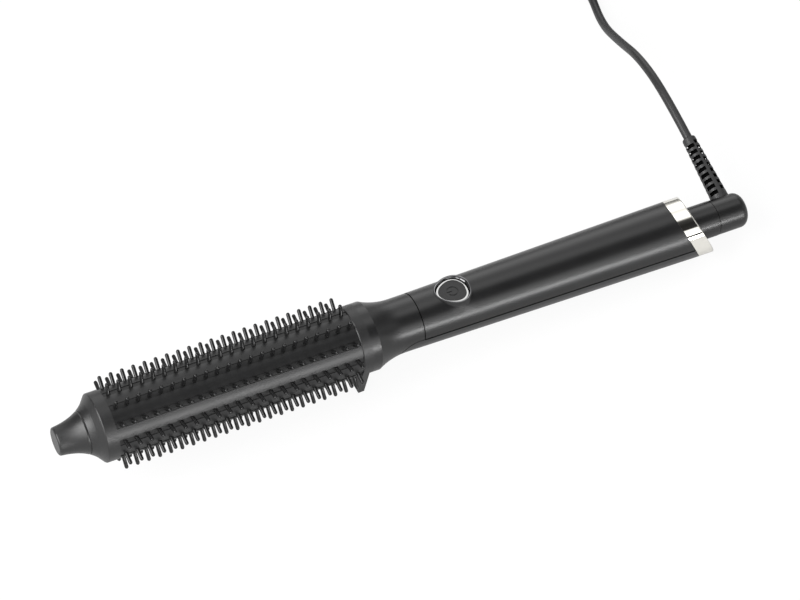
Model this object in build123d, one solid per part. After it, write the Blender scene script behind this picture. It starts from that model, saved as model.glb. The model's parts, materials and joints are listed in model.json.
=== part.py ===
from build123d import *
import math
import os

# Heated styling brush, in millimetres.
# The brush is drawn along its own axis: X runs from the nose to the tail, Z is the side with the button,
# and X = 0 is the nose's end face. At the end it is tilted onto its foot, as it lies on a table.

# Barrel and bristles
barrel_length = 117.0
barrel_radius = 15.9
barrel_wall = 3.3
strip_count = 12
strip_first_angle = 15.0
strip_mouth_width = 2.9
strip_foot_width = 4.2
strip_depth = 2.4
strip_lip = 1.0
strip_lip_slope = 0.5
strip_recess = 0.25
bristle_pitch = 5.32
bristle_end_margin = 2.6
bristle_side = 1.6
bristle_rise = 5.6
bristle_tip_height = 0.75
bristle_tip_side = 0.9
bristle_root_depth = 1.4

# Nose cap and front collar
tip_end_radius = 6.55
tip_edge_round = 1.0
tip_length = 16.3
tip_base_radius = 12.7
tip_flare_places = [6.0, 10.5]
tip_flare_radii = [7.37, 8.82]
tip_wall = 2.2
tip_groove_at = 12.6
tip_groove_width = 0.8
tip_groove_depth = 0.14
tip_groove_radius = 9.97
tip_seat_width = 1.5
bevel_length = 2.7
front_collar_width = 5.5
front_collar_proud = 0.1
register_radius = 10.7
register_length = 1.9
register_wall = 2.2
barrel_register = 3.0
collar_register_wall = 2.3
web_thickness = 2.5
web_setback = 2.0
nose_screw_radius = 1.5
nose_screw_head_radius = 2.8
nose_screw_head_height = 2.2
nose_screw_length = 9.0
nose_screw_slot = 0.7
nose_screw_slot_depth = 0.8

# Rear collar, stand foot and neck
rear_collar_length = 4.9
rear_collar_proud = 0.3
rear_collar_bevel = 0.4
foot_height = 26.0
foot_half_width = 9.9
foot_thickness = 2.6
foot_setback = 1.6
foot_corner_round = 1.4
foot_taper = 0.4
rear_register = 3.5
shoulder_length = 4.1
neck_waist_run = 14.5
neck_waist_radius = 12.74
neck_length = 22.8
neck_seam = 0.3
neck_groove = 0.25
neck_wall = 3.2
neck_end_rise = 0.04
shoulder_bore_reach = 1.5
shoulder_bore_draft = 0.6
spigot_start = 7.0
spigot_length = 7.5
spigot_wall = 1.4
flange_thickness = 2.2
lead_hole_radius = 5.6
collar_screw_radius = 1.2
collar_screw_head_radius = 2.1
collar_screw_head_height = 1.6
collar_screw_reach = 0.8
collar_screw_slot = 0.6

# Handle casings
handle_length = 138.65
handle_start_radius = 12.82
handle_end_radius = 14.78
casing_wall = 1.8
parting = 0.1
seam_width = 0.8
seam_depth = 0.8
tongue_length = 12.1
tongue_round = 9.5
tongue_lift = 0.12
band_width = 8.25
band_slant = 0.49
band_wall = 1.4
band_proud = 0.04
band_lip_round = 0.9
casing_spigot = 5.0
casing_spigot_overlap = 0.5

# Button
button_setback = 19.1
button_height = 11.05
button_outline_radius = 6.55
ring_width = 0.75
ring_proud = 0.15
button_width_share = 0.95
button_lobe = 0.05
button_corners = 3
button_outline_points = 12
button_travel = 0.5
button_gap = 0.25
button_flange = 0.7
button_cap_height = 1.9
button_skirt_height = 0.9
button_stem_radius = 2.4
ledge_drop = 1.6
well_drop = 0.4
bezel_width = 0.85
bezel_rim = 0.3
bezel_slope = 13.0
bezel_proud = 0.12
boss_crown_radius = 28.4
boss_crown_height = 13.1
boss_heights = [7.3, 9.0, 10.5, 12.0, 13.7]
boss_radii = [10.75, 9.95, 9.35, 8.95, 8.8]
mark_radius = 2.5
mark_width = 0.55
mark_depth = 0.25
mark_gap_angle = 60.0
mark_bar_past = 0.4
mark_bar_length = 2.6

# Board and what it carries
board_setback = 10.4
board_share = 0.49
board_width = 16.5
board_thickness = 1.2
board_top = 3.2
switch_side = 6.0
switch_height = 3.4
switch_travel_room = 0.8
plunger_length = 1.5
plunger_radius = 1.6
post_radius = 1.5
post_inset = 4.0
post_side_inset = 2.2
screw_shares = [0.6376, 0.8251]
screw_radius = 1.25
screw_head_radius = 2.3
screw_head_height = 1.7
screw_post_radius = 3.2
screw_seat = 8.0
screw_reach = 5.0
screw_cross_length = 3.4
screw_cross_width = 0.6
screw_cross_depth = 0.7
wire_radius = 0.8
heater_lead_spread = 3.2
heater_lead_bend = 9.0
supply_lead_bend = 2.5
supply_lead_start = 4.0
supply_lead_spread = 6.6
supply_lead_end = 5.0
supply_lead_run = 6.0
supply_lead_bend_runs = 2.5
supply_lead_rise_share = 0.3
supply_lead_fall_share = 0.4
terminal_length = 7.0
terminal_setback = 1.0
terminal_width = 13.0
terminal_height = 5.2
terminal_wire_height = 2.2
terminal_hole_radius = 1.3
terminal_hole_setback = 2.4
terminal_hole_depth = 1.6
lamp_offset = 6.2
lamp_radius = 1.5
lamp_stem = 1.6
capacitor_setback = 26.0
capacitor_side = -3.6
capacitor_radius = 3.2
capacitor_length = 12.0
capacitor_round = 0.4
power_switch_setback = 44.0
power_switch_length = 4.4
power_switch_width = 10.0
power_switch_height = 5.6
controller_setback = 28.0
controller_side = 4.0
controller_length = 5.0
controller_width = 4.0
controller_height = 1.5

# Heater
heater_gap = 1.5
heater_margin = 5.0
heater_side_room = 4.5
heater_thickness = 2.4
film_wall = 0.28
film_overlap = 1.0
spreader_wall = 1.3
insulator_length = 4.4
rear_insulator_length = 5.8
cutout_length = 9.0
cutout_width = 3.0
cutout_setback = 12.0
sensor_length = 4.5
sensor_setback = 20.0

# Swivel
socket_radius = 8.45
socket_length = 8.5
plate_setback = 0.2
elbow_radius = 8.35
elbow_length = 16.2
elbow_round = 3.6
swivel_gap = 0.3
spindle_radius = 4.05
spindle_bore_radius = 2.0
spindle_reach = 30.5
spindle_end_setback = 1.0
socket_sleeve_setback = 0.05
socket_sleeve_radius = 8.0
socket_sleeve_overlap = 0.5
contact_ring_radius = 4.6
contact_ring_width = 2.5
contact_ring_setbacks = [2.0, 7.0]
contact_block_width = 15.2
contact_block_margin = 1.0
contact_block_drop = 0.8
finger_side_clearance = 0.15
finger_thickness = 0.45
finger_inset = 0.3
clip_radius = 6.2
clip_groove_radius = 3.5
clip_thickness = 0.8
clip_mouth = 3.0

# Strain relief and cord
boot_inset = 7.7
boot_rise_angle = 16.5
boot_root_radius = 4.4
boot_end_radius = 3.3
boot_root_at = 5.0
boot_end = 42.2
boot_end_round = 0.8
slots_per_row = 9
slot_rows = 4
slot_first = 10.6
slot_pitch = 3.3
slot_width = 2.0
slot_chord = 4.4
slot_depth = 1.7
slot_cutter_depth = 4.0
slot_end_margin = 3.0
slot_row_angle = 45.0
cord_radius = 2.1
cord_corner_share = 0.45

# Cord laid out on the table. A place is across and away from the route's start, and its height is a share
# of the drop from the start to the level where the route ends.
lead_first_run = 26.0
lead_places = [
    (2.0, 52.8, 1.24),
    (5.4, 79.0, 0.62),
    (9.6, 104.0, 0.06),
    (15.8, 129.0, 0.0),
    (15.8, 155.0, 0.0),
]
tail_places = [
    (0.0, 17.0, 1.0),
    (2.6, 33.6, 0.48),
    (12.4, 46.6, 0.08),
    (28.0, 52.0, 0.0),
    (43.0, 52.0, 0.0),
]
coil_inner_radius = 16.5
coil_pitch = 4.65
coil_turns_per_layer = 3
coil_layers = 4
coil_least_gap = 0.4

# Tie and plug
tie_width = 4.0
tie_thickness = 0.6
tie_clearance = 0.35
tie_rest = 0.02
plug_length = 36.0
plug_front_width = 35.0
plug_rear_width = 12.0
plug_height = 13.4
plug_edge_round = 1.8
plug_corner_round = 1.2
plug_waist_at = 0.42
plug_waist_share = 0.45
plug_front_at = 0.8
pin_radius = 2.0
pin_base_radius = 1.85
pin_base_length = 10.0
pin_tip_length = 9.0
pin_tip_round = 0.8
pin_spacing = 18.6
pin_inset = 4.0

# Clearances
fit = 0.1
gap = 0.3
running = 0.05

# How far a cutting form runs past what it cuts
past = 30.0
through = 1.0

# What follows from the sizes above
barrel_start = tip_length + bevel_length + front_collar_width
barrel_end = barrel_start + barrel_length
collar_end = barrel_end + rear_collar_length
shoulder_end = collar_end + shoulder_length
neck_waist_at = shoulder_end + neck_waist_run
neck_end = shoulder_end + neck_length
handle_start = neck_end + neck_seam
band_front = handle_start + handle_length
band_rear = band_front + band_width
socket_end = band_rear + socket_length
elbow_end = socket_end + elbow_length
boot_at = elbow_end - boot_inset
spindle_start = socket_end - spindle_reach
spindle_end = boot_at - spindle_end_setback
socket_inner_start = band_front + socket_sleeve_setback
contact_ring_stations = [spindle_start + setback for setback in contact_ring_setbacks]
button_at = handle_start + button_setback
board_start = handle_start + board_setback
board_length = board_share * handle_length
screw_stations = [handle_start + share * handle_length for share in screw_shares]
front_collar_radius = barrel_radius + front_collar_proud
rear_collar_radius = barrel_radius + rear_collar_proud
bristle_tip_radius = barrel_radius + bristle_rise
barrel_bore_radius = barrel_radius - barrel_wall
bore_fill_radius = barrel_bore_radius - fit
collar_inner_radius = bore_fill_radius - collar_register_wall
heater_width = 2 * (bore_fill_radius - heater_side_room)
bristles_per_strip = int((barrel_length - 2 * bristle_end_margin) / bristle_pitch) + 1
insulator_start = barrel_start + barrel_register + fit
spreader_start = insulator_start + insulator_length
rear_insulator_end = barrel_end - rear_register - 2 * fit
spreader_length = rear_insulator_end - rear_insulator_length - spreader_start
heater_length = spreader_length - 2 * heater_margin
heater_start = spreader_start + heater_margin
foot_rear = barrel_end + rear_collar_length - foot_setback
liner_radius = handle_start_radius - casing_wall - fit
handle_slope = (handle_end_radius - handle_start_radius) / (band_front - handle_start)
band_contact = band_rear + handle_end_radius * band_slant - band_lip_round
rest_slope = (foot_height - handle_end_radius) / (band_contact - foot_rear)
rest_angle = math.degrees(math.atan(rest_slope))


def outline(plane, *steps):
    """A closed face on a plane. A step is a point, or a pair of a point on an arc and the arc's end."""
    edges = []
    here = steps[0]
    for step in steps[1:] + (steps[0],):
        if isinstance(step[0], tuple):
            middle, end = step
            ends = [plane.from_local_coords((*p, 0)) for p in (here, middle, end)]
            edges.append(ThreePointArc(*ends))
        else:
            end = step
            if end != here:
                edges.append(Line(*[plane.from_local_coords((*p, 0)) for p in (here, end)]))
        here = end
    return make_face(edges)


def turned(*steps):
    """A solid turned about the brush's axis, from places along the axis and radii."""
    return revolve(outline(Plane.XZ, *steps), Axis.X)


def rod(start, end, radius, y=0.0, z=0.0):
    """A round bar along the brush's axis."""
    return Pos((start + end) / 2, y, z) * Rot(0, 90, 0) * Cylinder(radius, end - start)


def tube(start, end, outer, inner):
    return rod(start, end, outer) - rod(start - through, end + through, inner)


def block(x0, x1, y0, y1, z0, z1):
    return Pos((x0 + x1) / 2, (y0 + y1) / 2, (z0 + z1) / 2) * Box(x1 - x0, y1 - y0, z1 - z0)


def upright(x, y, z0, z1, radius):
    return Pos(x, y, (z0 + z1) / 2) * Cylinder(radius, z1 - z0)


def before_slant(solid, station):
    """The part of a solid on the nose side of the slanted cut that crosses the axis at a station."""
    return split(solid, bisect_by=Plane(origin=(station, 0, 0), z_dir=(1, 0, band_slant)), keep=Keep.BOTTOM)


def after_slant(solid, station):
    return split(solid, bisect_by=Plane(origin=(station, 0, 0), z_dir=(1, 0, band_slant)), keep=Keep.TOP)


def handle_radius(x):
    return handle_start_radius + (x - handle_start) * handle_slope


def neck_arc():
    """Where the neck's hollow curve begins, a point on its way, and its lowest point."""
    drop = rear_collar_radius - neck_waist_radius
    run = neck_waist_at - shoulder_end
    radius = (run * run + drop * drop) / (2 * drop)
    half = 0.5 * math.asin(run / radius)
    middle = (neck_waist_at - radius * math.sin(half), neck_waist_radius + radius * (1 - math.cos(half)))
    return (shoulder_end, rear_collar_radius), middle, (neck_waist_at, neck_waist_radius)


# Nose

def make_nose_cap():
    flare = [
        (tip_edge_round, tip_end_radius), *zip(tip_flare_places, tip_flare_radii),
        (tip_length, tip_base_radius),
    ]
    bore = register_radius + fit
    seat = tip_length - register_length - fit
    hollow_front = (tip_wall + 1, 0, tip_end_radius - tip_wall)
    edges = [
        Line((0, 0, 0), (0, 0, tip_end_radius - tip_edge_round)),
        ThreePointArc(
            (0, 0, tip_end_radius - tip_edge_round),
            (tip_edge_round * 0.293, 0, tip_end_radius - tip_edge_round * 0.293),
            (tip_edge_round, 0, tip_end_radius),
        ),
        Spline(*[(x, 0, r) for x, r in flare]),
        Line((tip_length, 0, tip_base_radius), (tip_length, 0, bore)),
        Line((tip_length, 0, bore), (seat, 0, bore)),
        Line((seat, 0, bore), (seat, 0, bore - tip_seat_width)),
        Line((seat, 0, bore - tip_seat_width), hollow_front),
        Line(hollow_front, (tip_wall, 0, 0)),
        Line((tip_wall, 0, 0), (0, 0, 0)),
    ]
    cap = revolve(make_face(edges), Axis.X)
    floor = tip_groove_radius - tip_groove_depth
    return cap - tube(tip_groove_at, tip_groove_at + tip_groove_width, tip_base_radius + through, floor)


def make_front_collar():
    back = barrel_start + barrel_register
    web_back = barrel_start - web_setback
    web_front = web_back - web_thickness
    inner = register_radius - register_wall
    bevel_end = tip_length + bevel_length
    collar = turned(
        (tip_length - register_length, inner),
        (tip_length - register_length, register_radius),
        (tip_length, register_radius),
        (tip_length, tip_base_radius),
        (bevel_end - 0.25, front_collar_radius - 0.3),
        ((bevel_end, front_collar_radius - 0.09), (bevel_end + 0.4, front_collar_radius)),
        (barrel_start, front_collar_radius),
        (barrel_start, bore_fill_radius),
        (back, bore_fill_radius),
        (back, collar_inner_radius),
        (web_back, collar_inner_radius),
        (web_back, 0),
        (web_front, 0),
        (web_front, inner),
    )
    return collar - rod(web_front - through, web_back + through, nose_screw_radius + fit)


def make_nose_screw():
    seat = barrel_start - web_setback - web_thickness
    front = seat - nose_screw_head_height
    head = rod(front, seat, nose_screw_head_radius)
    wide = nose_screw_head_radius + through
    half = nose_screw_slot / 2
    slot = block(front - through, front + nose_screw_slot_depth, -wide, wide, -half, half)
    return head - slot + rod(seat, seat + nose_screw_length, nose_screw_radius)


# Barrel

def strip_section(radius, clearance):
    """Half the section of a bristle strip's groove, mirrored: a narrow mouth over a wider foot."""
    mouth = strip_mouth_width / 2 - clearance
    foot = strip_foot_width / 2 - clearance
    top = radius
    lip = barrel_radius - strip_lip - clearance
    floor = barrel_radius - strip_depth + clearance
    return outline(
        Plane.YZ.offset(barrel_start),
        (-mouth, top), (mouth, top), (mouth, lip), (foot, lip - strip_lip_slope),
        (foot, floor), (-foot, floor), (-foot, lip - strip_lip_slope), (-mouth, lip),
    )


def make_barrel():
    barrel = tube(barrel_start, barrel_end, barrel_radius, barrel_bore_radius)
    groove = extrude(strip_section(barrel_radius + through, 0), barrel_length, dir=(1, 0, 0))
    grooves = [Rot(strip_first_angle + k * 360 / strip_count, 0, 0) * groove for k in range(strip_count)]
    return barrel - grooves


def make_bristle():
    """One four-sided bristle standing on the strip, with a blunt tip."""
    root = barrel_radius - bristle_root_depth
    shoulder = bristle_tip_radius - bristle_tip_height
    shaft = Pos(0, 0, (root + shoulder) / 2) * Box(bristle_side, bristle_side, shoulder - root)
    tip = loft([
        Plane.XY.offset(shoulder) * Rectangle(bristle_side, bristle_side),
        Plane.XY.offset(bristle_tip_radius) * Rectangle(bristle_tip_side, bristle_tip_side),
    ])
    return shaft + tip


def make_strip():
    """A strip of backing with its row of bristles, on top of the barrel."""
    section = strip_section(barrel_radius - strip_recess, fit)
    backing = Pos(fit, 0, 0) * extrude(section, barrel_length - 2 * fit, dir=(1, 0, 0))
    row_length = (bristles_per_strip - 1) * bristle_pitch
    first = barrel_start + (barrel_length - row_length) / 2
    bristle = make_bristle()
    bristles = [Pos(first + k * bristle_pitch, 0, 0) * bristle for k in range(bristles_per_strip)]
    return backing.fuse(*bristles)


# Heater

def make_front_insulator():
    disc = rod(insulator_start, spreader_start, bore_fill_radius)
    boss = rod(barrel_start - web_setback, insulator_start + 1, collar_inner_radius - fit)
    screw_end = barrel_start - web_setback - web_thickness + nose_screw_length
    return disc + boss - rod(barrel_start - web_setback - 1, screw_end + fit, nose_screw_radius + running)


def make_spreader(side):
    far = spreader_start + spreader_length
    wide = barrel_radius
    half = rod(spreader_start, far, bore_fill_radius)
    half = half & block(spreader_start - through, far + through, -wide, wide, heater_gap, wide)
    hollow = rod(spreader_start - through, far + through, bore_fill_radius - spreader_wall)
    floor = heater_gap + spreader_wall
    for y0, y1 in ((-wide, -spreader_wall / 2), (spreader_wall / 2, wide)):
        half = half - (hollow & block(spreader_start - through, far + through, y0, y1, floor, wide))
    return half if side > 0 else mirror(half, Plane.XY)


def make_heating_plate():
    half = heater_thickness / 2
    wide = heater_width / 2
    return block(heater_start, heater_start + heater_length, -wide, wide, -half, half)


def make_film():
    half = heater_thickness / 2
    x0 = heater_start - film_overlap
    x1 = heater_start + heater_length + film_overlap
    wide = heater_width / 2
    outer = block(x0, x1, -wide - film_wall, wide + film_wall, -half - film_wall, half + film_wall)
    return outer - block(x0 - through, x1 + through, -wide, wide, -half, half)


def make_rear_insulator():
    start = spreader_start + spreader_length
    disc = rod(start, rear_insulator_end, bore_fill_radius)
    sides = (-heater_lead_spread, heater_lead_spread)
    return disc - [rod(start - through, rear_insulator_end + through, wire_radius + fit, y, 0) for y in sides]


def make_cutout():
    x0 = heater_start + heater_length - cutout_setback
    near = heater_width / 2 + film_wall + fit
    return block(x0, x0 + cutout_length, near, near + cutout_width, -heater_gap + fit, heater_gap - fit)


def make_sensor():
    x0 = heater_start + heater_length - sensor_setback
    near = heater_width / 2 + film_wall + fit
    return rod(x0, x0 + sensor_length, heater_gap - fit, -(near + heater_gap), 0)


# Rear collar, foot and neck

def collar_screw_places():
    reach = (lead_hole_radius + bore_fill_radius) / 2
    return [(reach * math.sin(math.radians(a)), reach * math.cos(math.radians(a))) for a in (0, 120, 240)]


def make_rear_collar():
    ring = turned(
        (barrel_end - rear_register, lead_hole_radius),
        (barrel_end - rear_register, bore_fill_radius),
        (barrel_end, bore_fill_radius),
        (barrel_end, front_collar_radius),
        (barrel_end + rear_collar_bevel, rear_collar_radius),
        (collar_end, rear_collar_radius),
        (collar_end, lead_hole_radius),
    )
    across = math.hypot(foot_half_width, foot_height)
    lean = math.atan2(-foot_height, foot_half_width) + math.acos(rear_collar_radius / across)
    side = (rear_collar_radius * math.cos(lean), rear_collar_radius * math.sin(lean))
    deep = foot_height + 2
    front_face = outline(
        Plane.YZ.offset(barrel_end), (-side[0], side[1]),
        (-foot_half_width, -foot_height), (-foot_half_width + foot_taper, -deep),
        (foot_half_width - foot_taper, -deep), (foot_half_width, -foot_height), side,
    )
    front_foot = foot_rear - foot_thickness
    plate = outline(
        Plane.XZ, (barrel_end, 0), (barrel_end, -rear_collar_radius + 2),
        (front_foot, -foot_height - foot_thickness * rest_slope),
        (foot_rear, -foot_height), (foot_rear, 0),
    )
    foot = extrude(front_face, foot_rear - barrel_end + 1, dir=(1, 0, 0)) & extrude(plate, past, both=True)
    foot = foot - rod(barrel_end - through, collar_end, lead_hole_radius + 1)
    bottom = foot.edges().filter_by(Axis.X, tolerance=8).sort_by(Axis.Z)[:2]
    foot = fillet(bottom, foot_corner_round)
    start = barrel_end - collar_screw_reach - fit
    hole = collar_screw_radius + running
    return ring + foot - [rod(start, collar_end + through, hole, y, z) for y, z in collar_screw_places()]


def make_collar_screws():
    seat = collar_end + flange_thickness
    top = seat + collar_screw_head_height
    wide = collar_screw_head_radius
    half = collar_screw_slot / 2
    slot = block(top - collar_screw_slot, top + through, -wide - through, wide + through, -half, half)
    screw = rod(seat, top, wide) - slot
    screw = screw + rod(barrel_end - collar_screw_reach, seat, collar_screw_radius)
    return Compound(children=[Pos(0, y, z) * screw for y, z in collar_screw_places()])


def tongue_zone(clearance):
    """The zone below the curved seam under the neck, seen from the side."""
    front = handle_start - tongue_length - clearance
    back = handle_start + 0.01
    deep = -2 * handle_end_radius
    turn_in = tongue_round * (1 - math.sqrt(0.5))
    corner = (front + tongue_round, clearance)
    bend = (front + turn_in, clearance - turn_in)
    side = outline(
        Plane.XZ, (front, deep), (front, clearance - tongue_round), (bend, corner),
        (back, clearance), (back, deep),
    )
    return extrude(side, 2 * handle_end_radius, both=True)


def make_neck_sleeve():
    start, middle, waist = neck_arc()
    bore = liner_radius - spigot_wall
    within = (bore + liner_radius) / 2
    flange = collar_end + flange_thickness
    spigot_from = shoulder_end + spigot_start
    skin = turned(
        (collar_end, lead_hole_radius),
        (collar_end, rear_collar_radius),
        start,
        (middle, waist),
        (neck_end - neck_groove, neck_waist_radius + neck_end_rise),
        (neck_end - neck_groove, neck_waist_radius - neck_groove),
        (neck_end, neck_waist_radius - neck_groove),
        (neck_end, within),
        (spigot_from + 1, within),
        (shoulder_end + shoulder_bore_reach, rear_collar_radius - neck_wall),
        (flange, rear_collar_radius - neck_wall + shoulder_bore_draft),
        (flange, lead_hole_radius),
    )
    spigot = tube(spigot_from, neck_end + spigot_length, liner_radius, bore)
    hole = collar_screw_radius + fit
    screws = [rod(collar_end - through, flange + through, hole, y, z) for y, z in collar_screw_places()]
    return skin - tongue_zone(gap) + spigot - screws


# Handle

def handle_core(offset, start, end):
    """The handle's tapered form, made smaller by an offset."""
    return turned(
        (start, 0), (start, handle_radius(start) - offset), (end, handle_radius(end) - offset), (end, 0),
    )


def casing_shell():
    """Both casings as one: the tapered wall, and the thinner spigot that the end band covers."""
    far = band_rear + past
    wall = before_slant(handle_core(0, handle_start, far), band_front)
    spigot = rod(handle_start, far, handle_end_radius - band_wall - fit)
    spigot = after_slant(before_slant(spigot, band_front + casing_spigot), band_front - casing_spigot_overlap)
    return wall + spigot - handle_core(casing_wall, handle_start - through, far)


def seam_groove():
    """The fine groove along the handle where its two casings meet."""
    far = band_rear + past
    rim = handle_core(-through, handle_start - 0.01, far)
    rim = rim - handle_core(seam_depth, handle_start - through, far + through)
    wide = 2 * handle_end_radius
    return rim & block(handle_start - through, far + through, -wide, wide, -seam_width / 2, seam_width / 2)


def pick(size, height):
    """The button's rounded three-sided outline at a height."""
    points = []
    for k in range(button_outline_points):
        turn = math.radians(360 / button_outline_points * k)
        reach = size * (1 + button_lobe * math.cos(button_corners * (turn - math.pi)))
        across = reach * math.sin(turn) * button_width_share
        points.append((button_at + reach * math.cos(turn), across, height))
    return make_face(Spline(*points, periodic=True))


def pick_block(size, low, high):
    return extrude(pick(size, low), high - low, dir=(0, 0, 1))


def crown(height):
    """A large round bar along the handle whose top is at a height."""
    return rod(button_at - past, button_at + past, boss_crown_radius, 0, height - boss_crown_radius)


def bezel_inner():
    return button_outline_radius + ring_width + button_gap


def bezel_outer():
    return bezel_inner() + bezel_width


def ledge_height():
    return button_height - ledge_drop


def casing_screw_post(x, side):
    """A post from the casing's wall to the parting plane."""
    reach = 2 * screw_post_radius
    post = upright(x, 0, gap / 2, handle_end_radius, screw_post_radius)
    post = post & handle_core(casing_wall / 2, x - reach, x + reach)
    return post if side > 0 else mirror(post, Plane.XY)


def make_upper_casing():
    shell = casing_shell() & block(handle_start - through, band_rear + past, -past, past, parting / 2, past)
    boss = loft([pick(radius, height) for radius, height in zip(boss_radii, boss_heights)])
    boss = boss & crown(boss_crown_height)
    boss = boss - handle_core(casing_wall, handle_start, band_front)
    shell = shell + boss - seam_groove()
    shell = shell - pick_block(bezel_outer() + running, ledge_height(), button_height + 6)
    shell = shell - pick_block(bezel_inner() + button_flange + fit, 0, button_height)
    for x in screw_stations:
        shell = shell + casing_screw_post(x, 1) - upright(x, 0, -1, screw_reach + 1, screw_radius + running)
    return shell


def make_lower_casing():
    shell = casing_shell() & block(handle_start - 0.01, band_rear + past, -past, past, -past, -parting / 2)
    tongue = turned(
        (handle_start - tongue_length, handle_start_radius - casing_wall),
        (handle_start - tongue_length, neck_waist_radius + tongue_lift),
        (neck_waist_at, neck_waist_radius),
        (handle_start, handle_start_radius),
        (handle_start, handle_start_radius - casing_wall),
    )
    below = block(handle_start - tongue_length, handle_start, -past, past, -past, -parting / 2)
    shell = shell + (tongue & tongue_zone(0) & below) - seam_groove()
    for x in screw_stations:
        shell = shell + casing_screw_post(x, -1)
        shell = shell - upright(x, 0, -screw_seat - through, 1, screw_radius + fit)
        shell = shell - upright(x, 0, -past, -screw_seat, screw_head_radius + fit)
    board_end = board_start + board_length
    inside = handle_core(casing_wall / 2, board_start - post_radius, board_end + post_radius)
    for x in (board_start + post_inset, board_end - post_inset):
        for y in (-board_width / 2 + post_side_inset, board_width / 2 - post_side_inset):
            shell = shell + (upright(x, y, -past, board_top - board_thickness, post_radius) & inside)
    return shell


def make_casing_screws():
    head = upright(0, 0, -screw_seat - screw_head_height, -screw_seat, screw_head_radius)
    slot = Box(screw_cross_length, screw_cross_width, 2 * screw_cross_depth)
    cross = Pos(0, 0, -screw_seat - screw_head_height) * (slot + Rot(0, 0, 90) * slot)
    screw = head - cross + upright(0, 0, -screw_seat, screw_reach, screw_radius)
    return Compound(children=[Pos(x, 0, 0) * screw for x in screw_stations])


def make_end_band():
    wall = rod(band_front - past, band_rear + past, handle_end_radius + band_proud)
    wall = before_slant(after_slant(wall, band_front + running), band_rear)
    rear = wall.faces().sort_by(Axis.X)[-1]
    wall = fillet(rear.edges(), band_lip_round)
    return wall - rod(band_front - 2 * past, band_rear + 2 * past, handle_end_radius - band_wall)


# Button

def make_power_button():
    top = button_height
    low = ledge_height() - gap
    cap = pick_block(button_outline_radius, top - button_cap_height, top)
    skirt = pick_block(bezel_inner() + button_flange - 2 * fit, low - button_skirt_height, low)
    stem = upright(button_at, 0, plunger_top(), low, button_stem_radius)
    mark = upright(button_at, 0, top - mark_depth, top + through, mark_radius + mark_width / 2)
    mark = mark - upright(button_at, 0, top - through, top + 2, mark_radius - mark_width / 2)
    half = mark_radius * math.tan(math.radians(mark_gap_angle / 2))
    mouth = outline(
        Plane.XY.offset(top - through), (button_at, 0), (button_at - 2 * mark_radius, -2 * half),
        (button_at - 2 * mark_radius, 2 * half),
    )
    mark = mark - extrude(mouth, 3, dir=(0, 0, 1))
    wide = mark_width / 2
    far = button_at - mark_radius - mark_bar_past
    bar = block(far, far + mark_bar_length, -wide, wide, top - mark_depth, top + through)
    return cap + skirt + stem - mark - bar


def make_button_ring():
    low = ledge_height() - gap
    ring = pick_block(button_outline_radius + ring_width, low, button_height + ring_proud)
    return ring - pick_block(button_outline_radius, low - through, button_height + through)


def make_bezel():
    inner = bezel_inner()
    flare = bezel_width - bezel_rim
    well_top = button_height - well_drop
    flare_top = well_top + flare / math.tan(math.radians(bezel_slope))
    high = boss_crown_height + 2
    outer = pick_block(bezel_outer(), ledge_height(), high)
    well = pick_block(inner, ledge_height() - through, well_top)
    funnel = loft([pick(inner, well_top), pick(inner + flare, flare_top)])
    mouth = pick_block(inner + flare, flare_top, high + through)
    return (outer - well - funnel - mouth) & crown(boss_crown_height + bezel_proud)


def plunger_top():
    return board_top + switch_height + switch_travel_room


def make_plunger():
    return upright(button_at, 0, plunger_top() - plunger_length, plunger_top(), plunger_radius)


# Board

def make_board():
    return block(board_start, board_start + board_length, -board_width / 2, board_width / 2,
                 board_top - board_thickness, board_top)


def make_tact_switch():
    half = switch_side / 2
    body = block(button_at - half, button_at + half, -half, half, board_top, board_top + switch_height)
    floor = plunger_top() - plunger_length - button_travel - fit
    return body - upright(button_at, 0, floor, past, plunger_radius + fit)


def make_status_lamp():
    x = button_at + lamp_offset
    dome_foot = board_top + lamp_stem
    return upright(x, 0, board_top, dome_foot, lamp_radius) + Pos(x, 0, dome_foot) * Sphere(lamp_radius)


def make_capacitor():
    x = board_start + capacitor_setback
    body = rod(x, x + capacitor_length, capacitor_radius, capacitor_side, board_top + capacitor_radius)
    return fillet(body.edges(), capacitor_round)


def make_power_switch():
    x = board_start + power_switch_setback
    half = power_switch_width / 2
    return block(x, x + power_switch_length, -half, half, board_top, board_top + power_switch_height)


def make_controller():
    x = board_start + controller_setback
    low = controller_side - controller_width / 2
    high = controller_side + controller_width / 2
    return block(x, x + controller_length, low, high, board_top, board_top + controller_height)


def make_terminals():
    far = terminal_face()
    x = far - terminal_length
    wide = terminal_width / 2
    body = block(x, far, -wide, wide, board_top, board_top + terminal_height)
    top = board_top + terminal_height
    for y in (-supply_lead_start, supply_lead_start):
        middle = x + terminal_hole_setback
        body = body - upright(middle, y, top - terminal_hole_depth, top + through, terminal_hole_radius)
    return body


def terminal_face():
    return board_start + board_length - terminal_setback


def wire(points, bend):
    path = FilletPolyline(*points, radius=bend)
    ring = Plane(origin=path @ 0, z_dir=path % 0) * Circle(wire_radius)
    return sweep(ring, path=path)


def make_heater_leads():
    start = spreader_start + spreader_length
    high = board_top + wire_radius + running
    wires = []
    for y in (-heater_lead_spread, heater_lead_spread):
        points = [
            (start, y, 0), (neck_waist_at, y, 0),
            (board_start - post_inset, y, high), (board_start + post_inset, y, high),
        ]
        wires.append(wire(points, heater_lead_bend))
    return Compound(children=wires)


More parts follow.
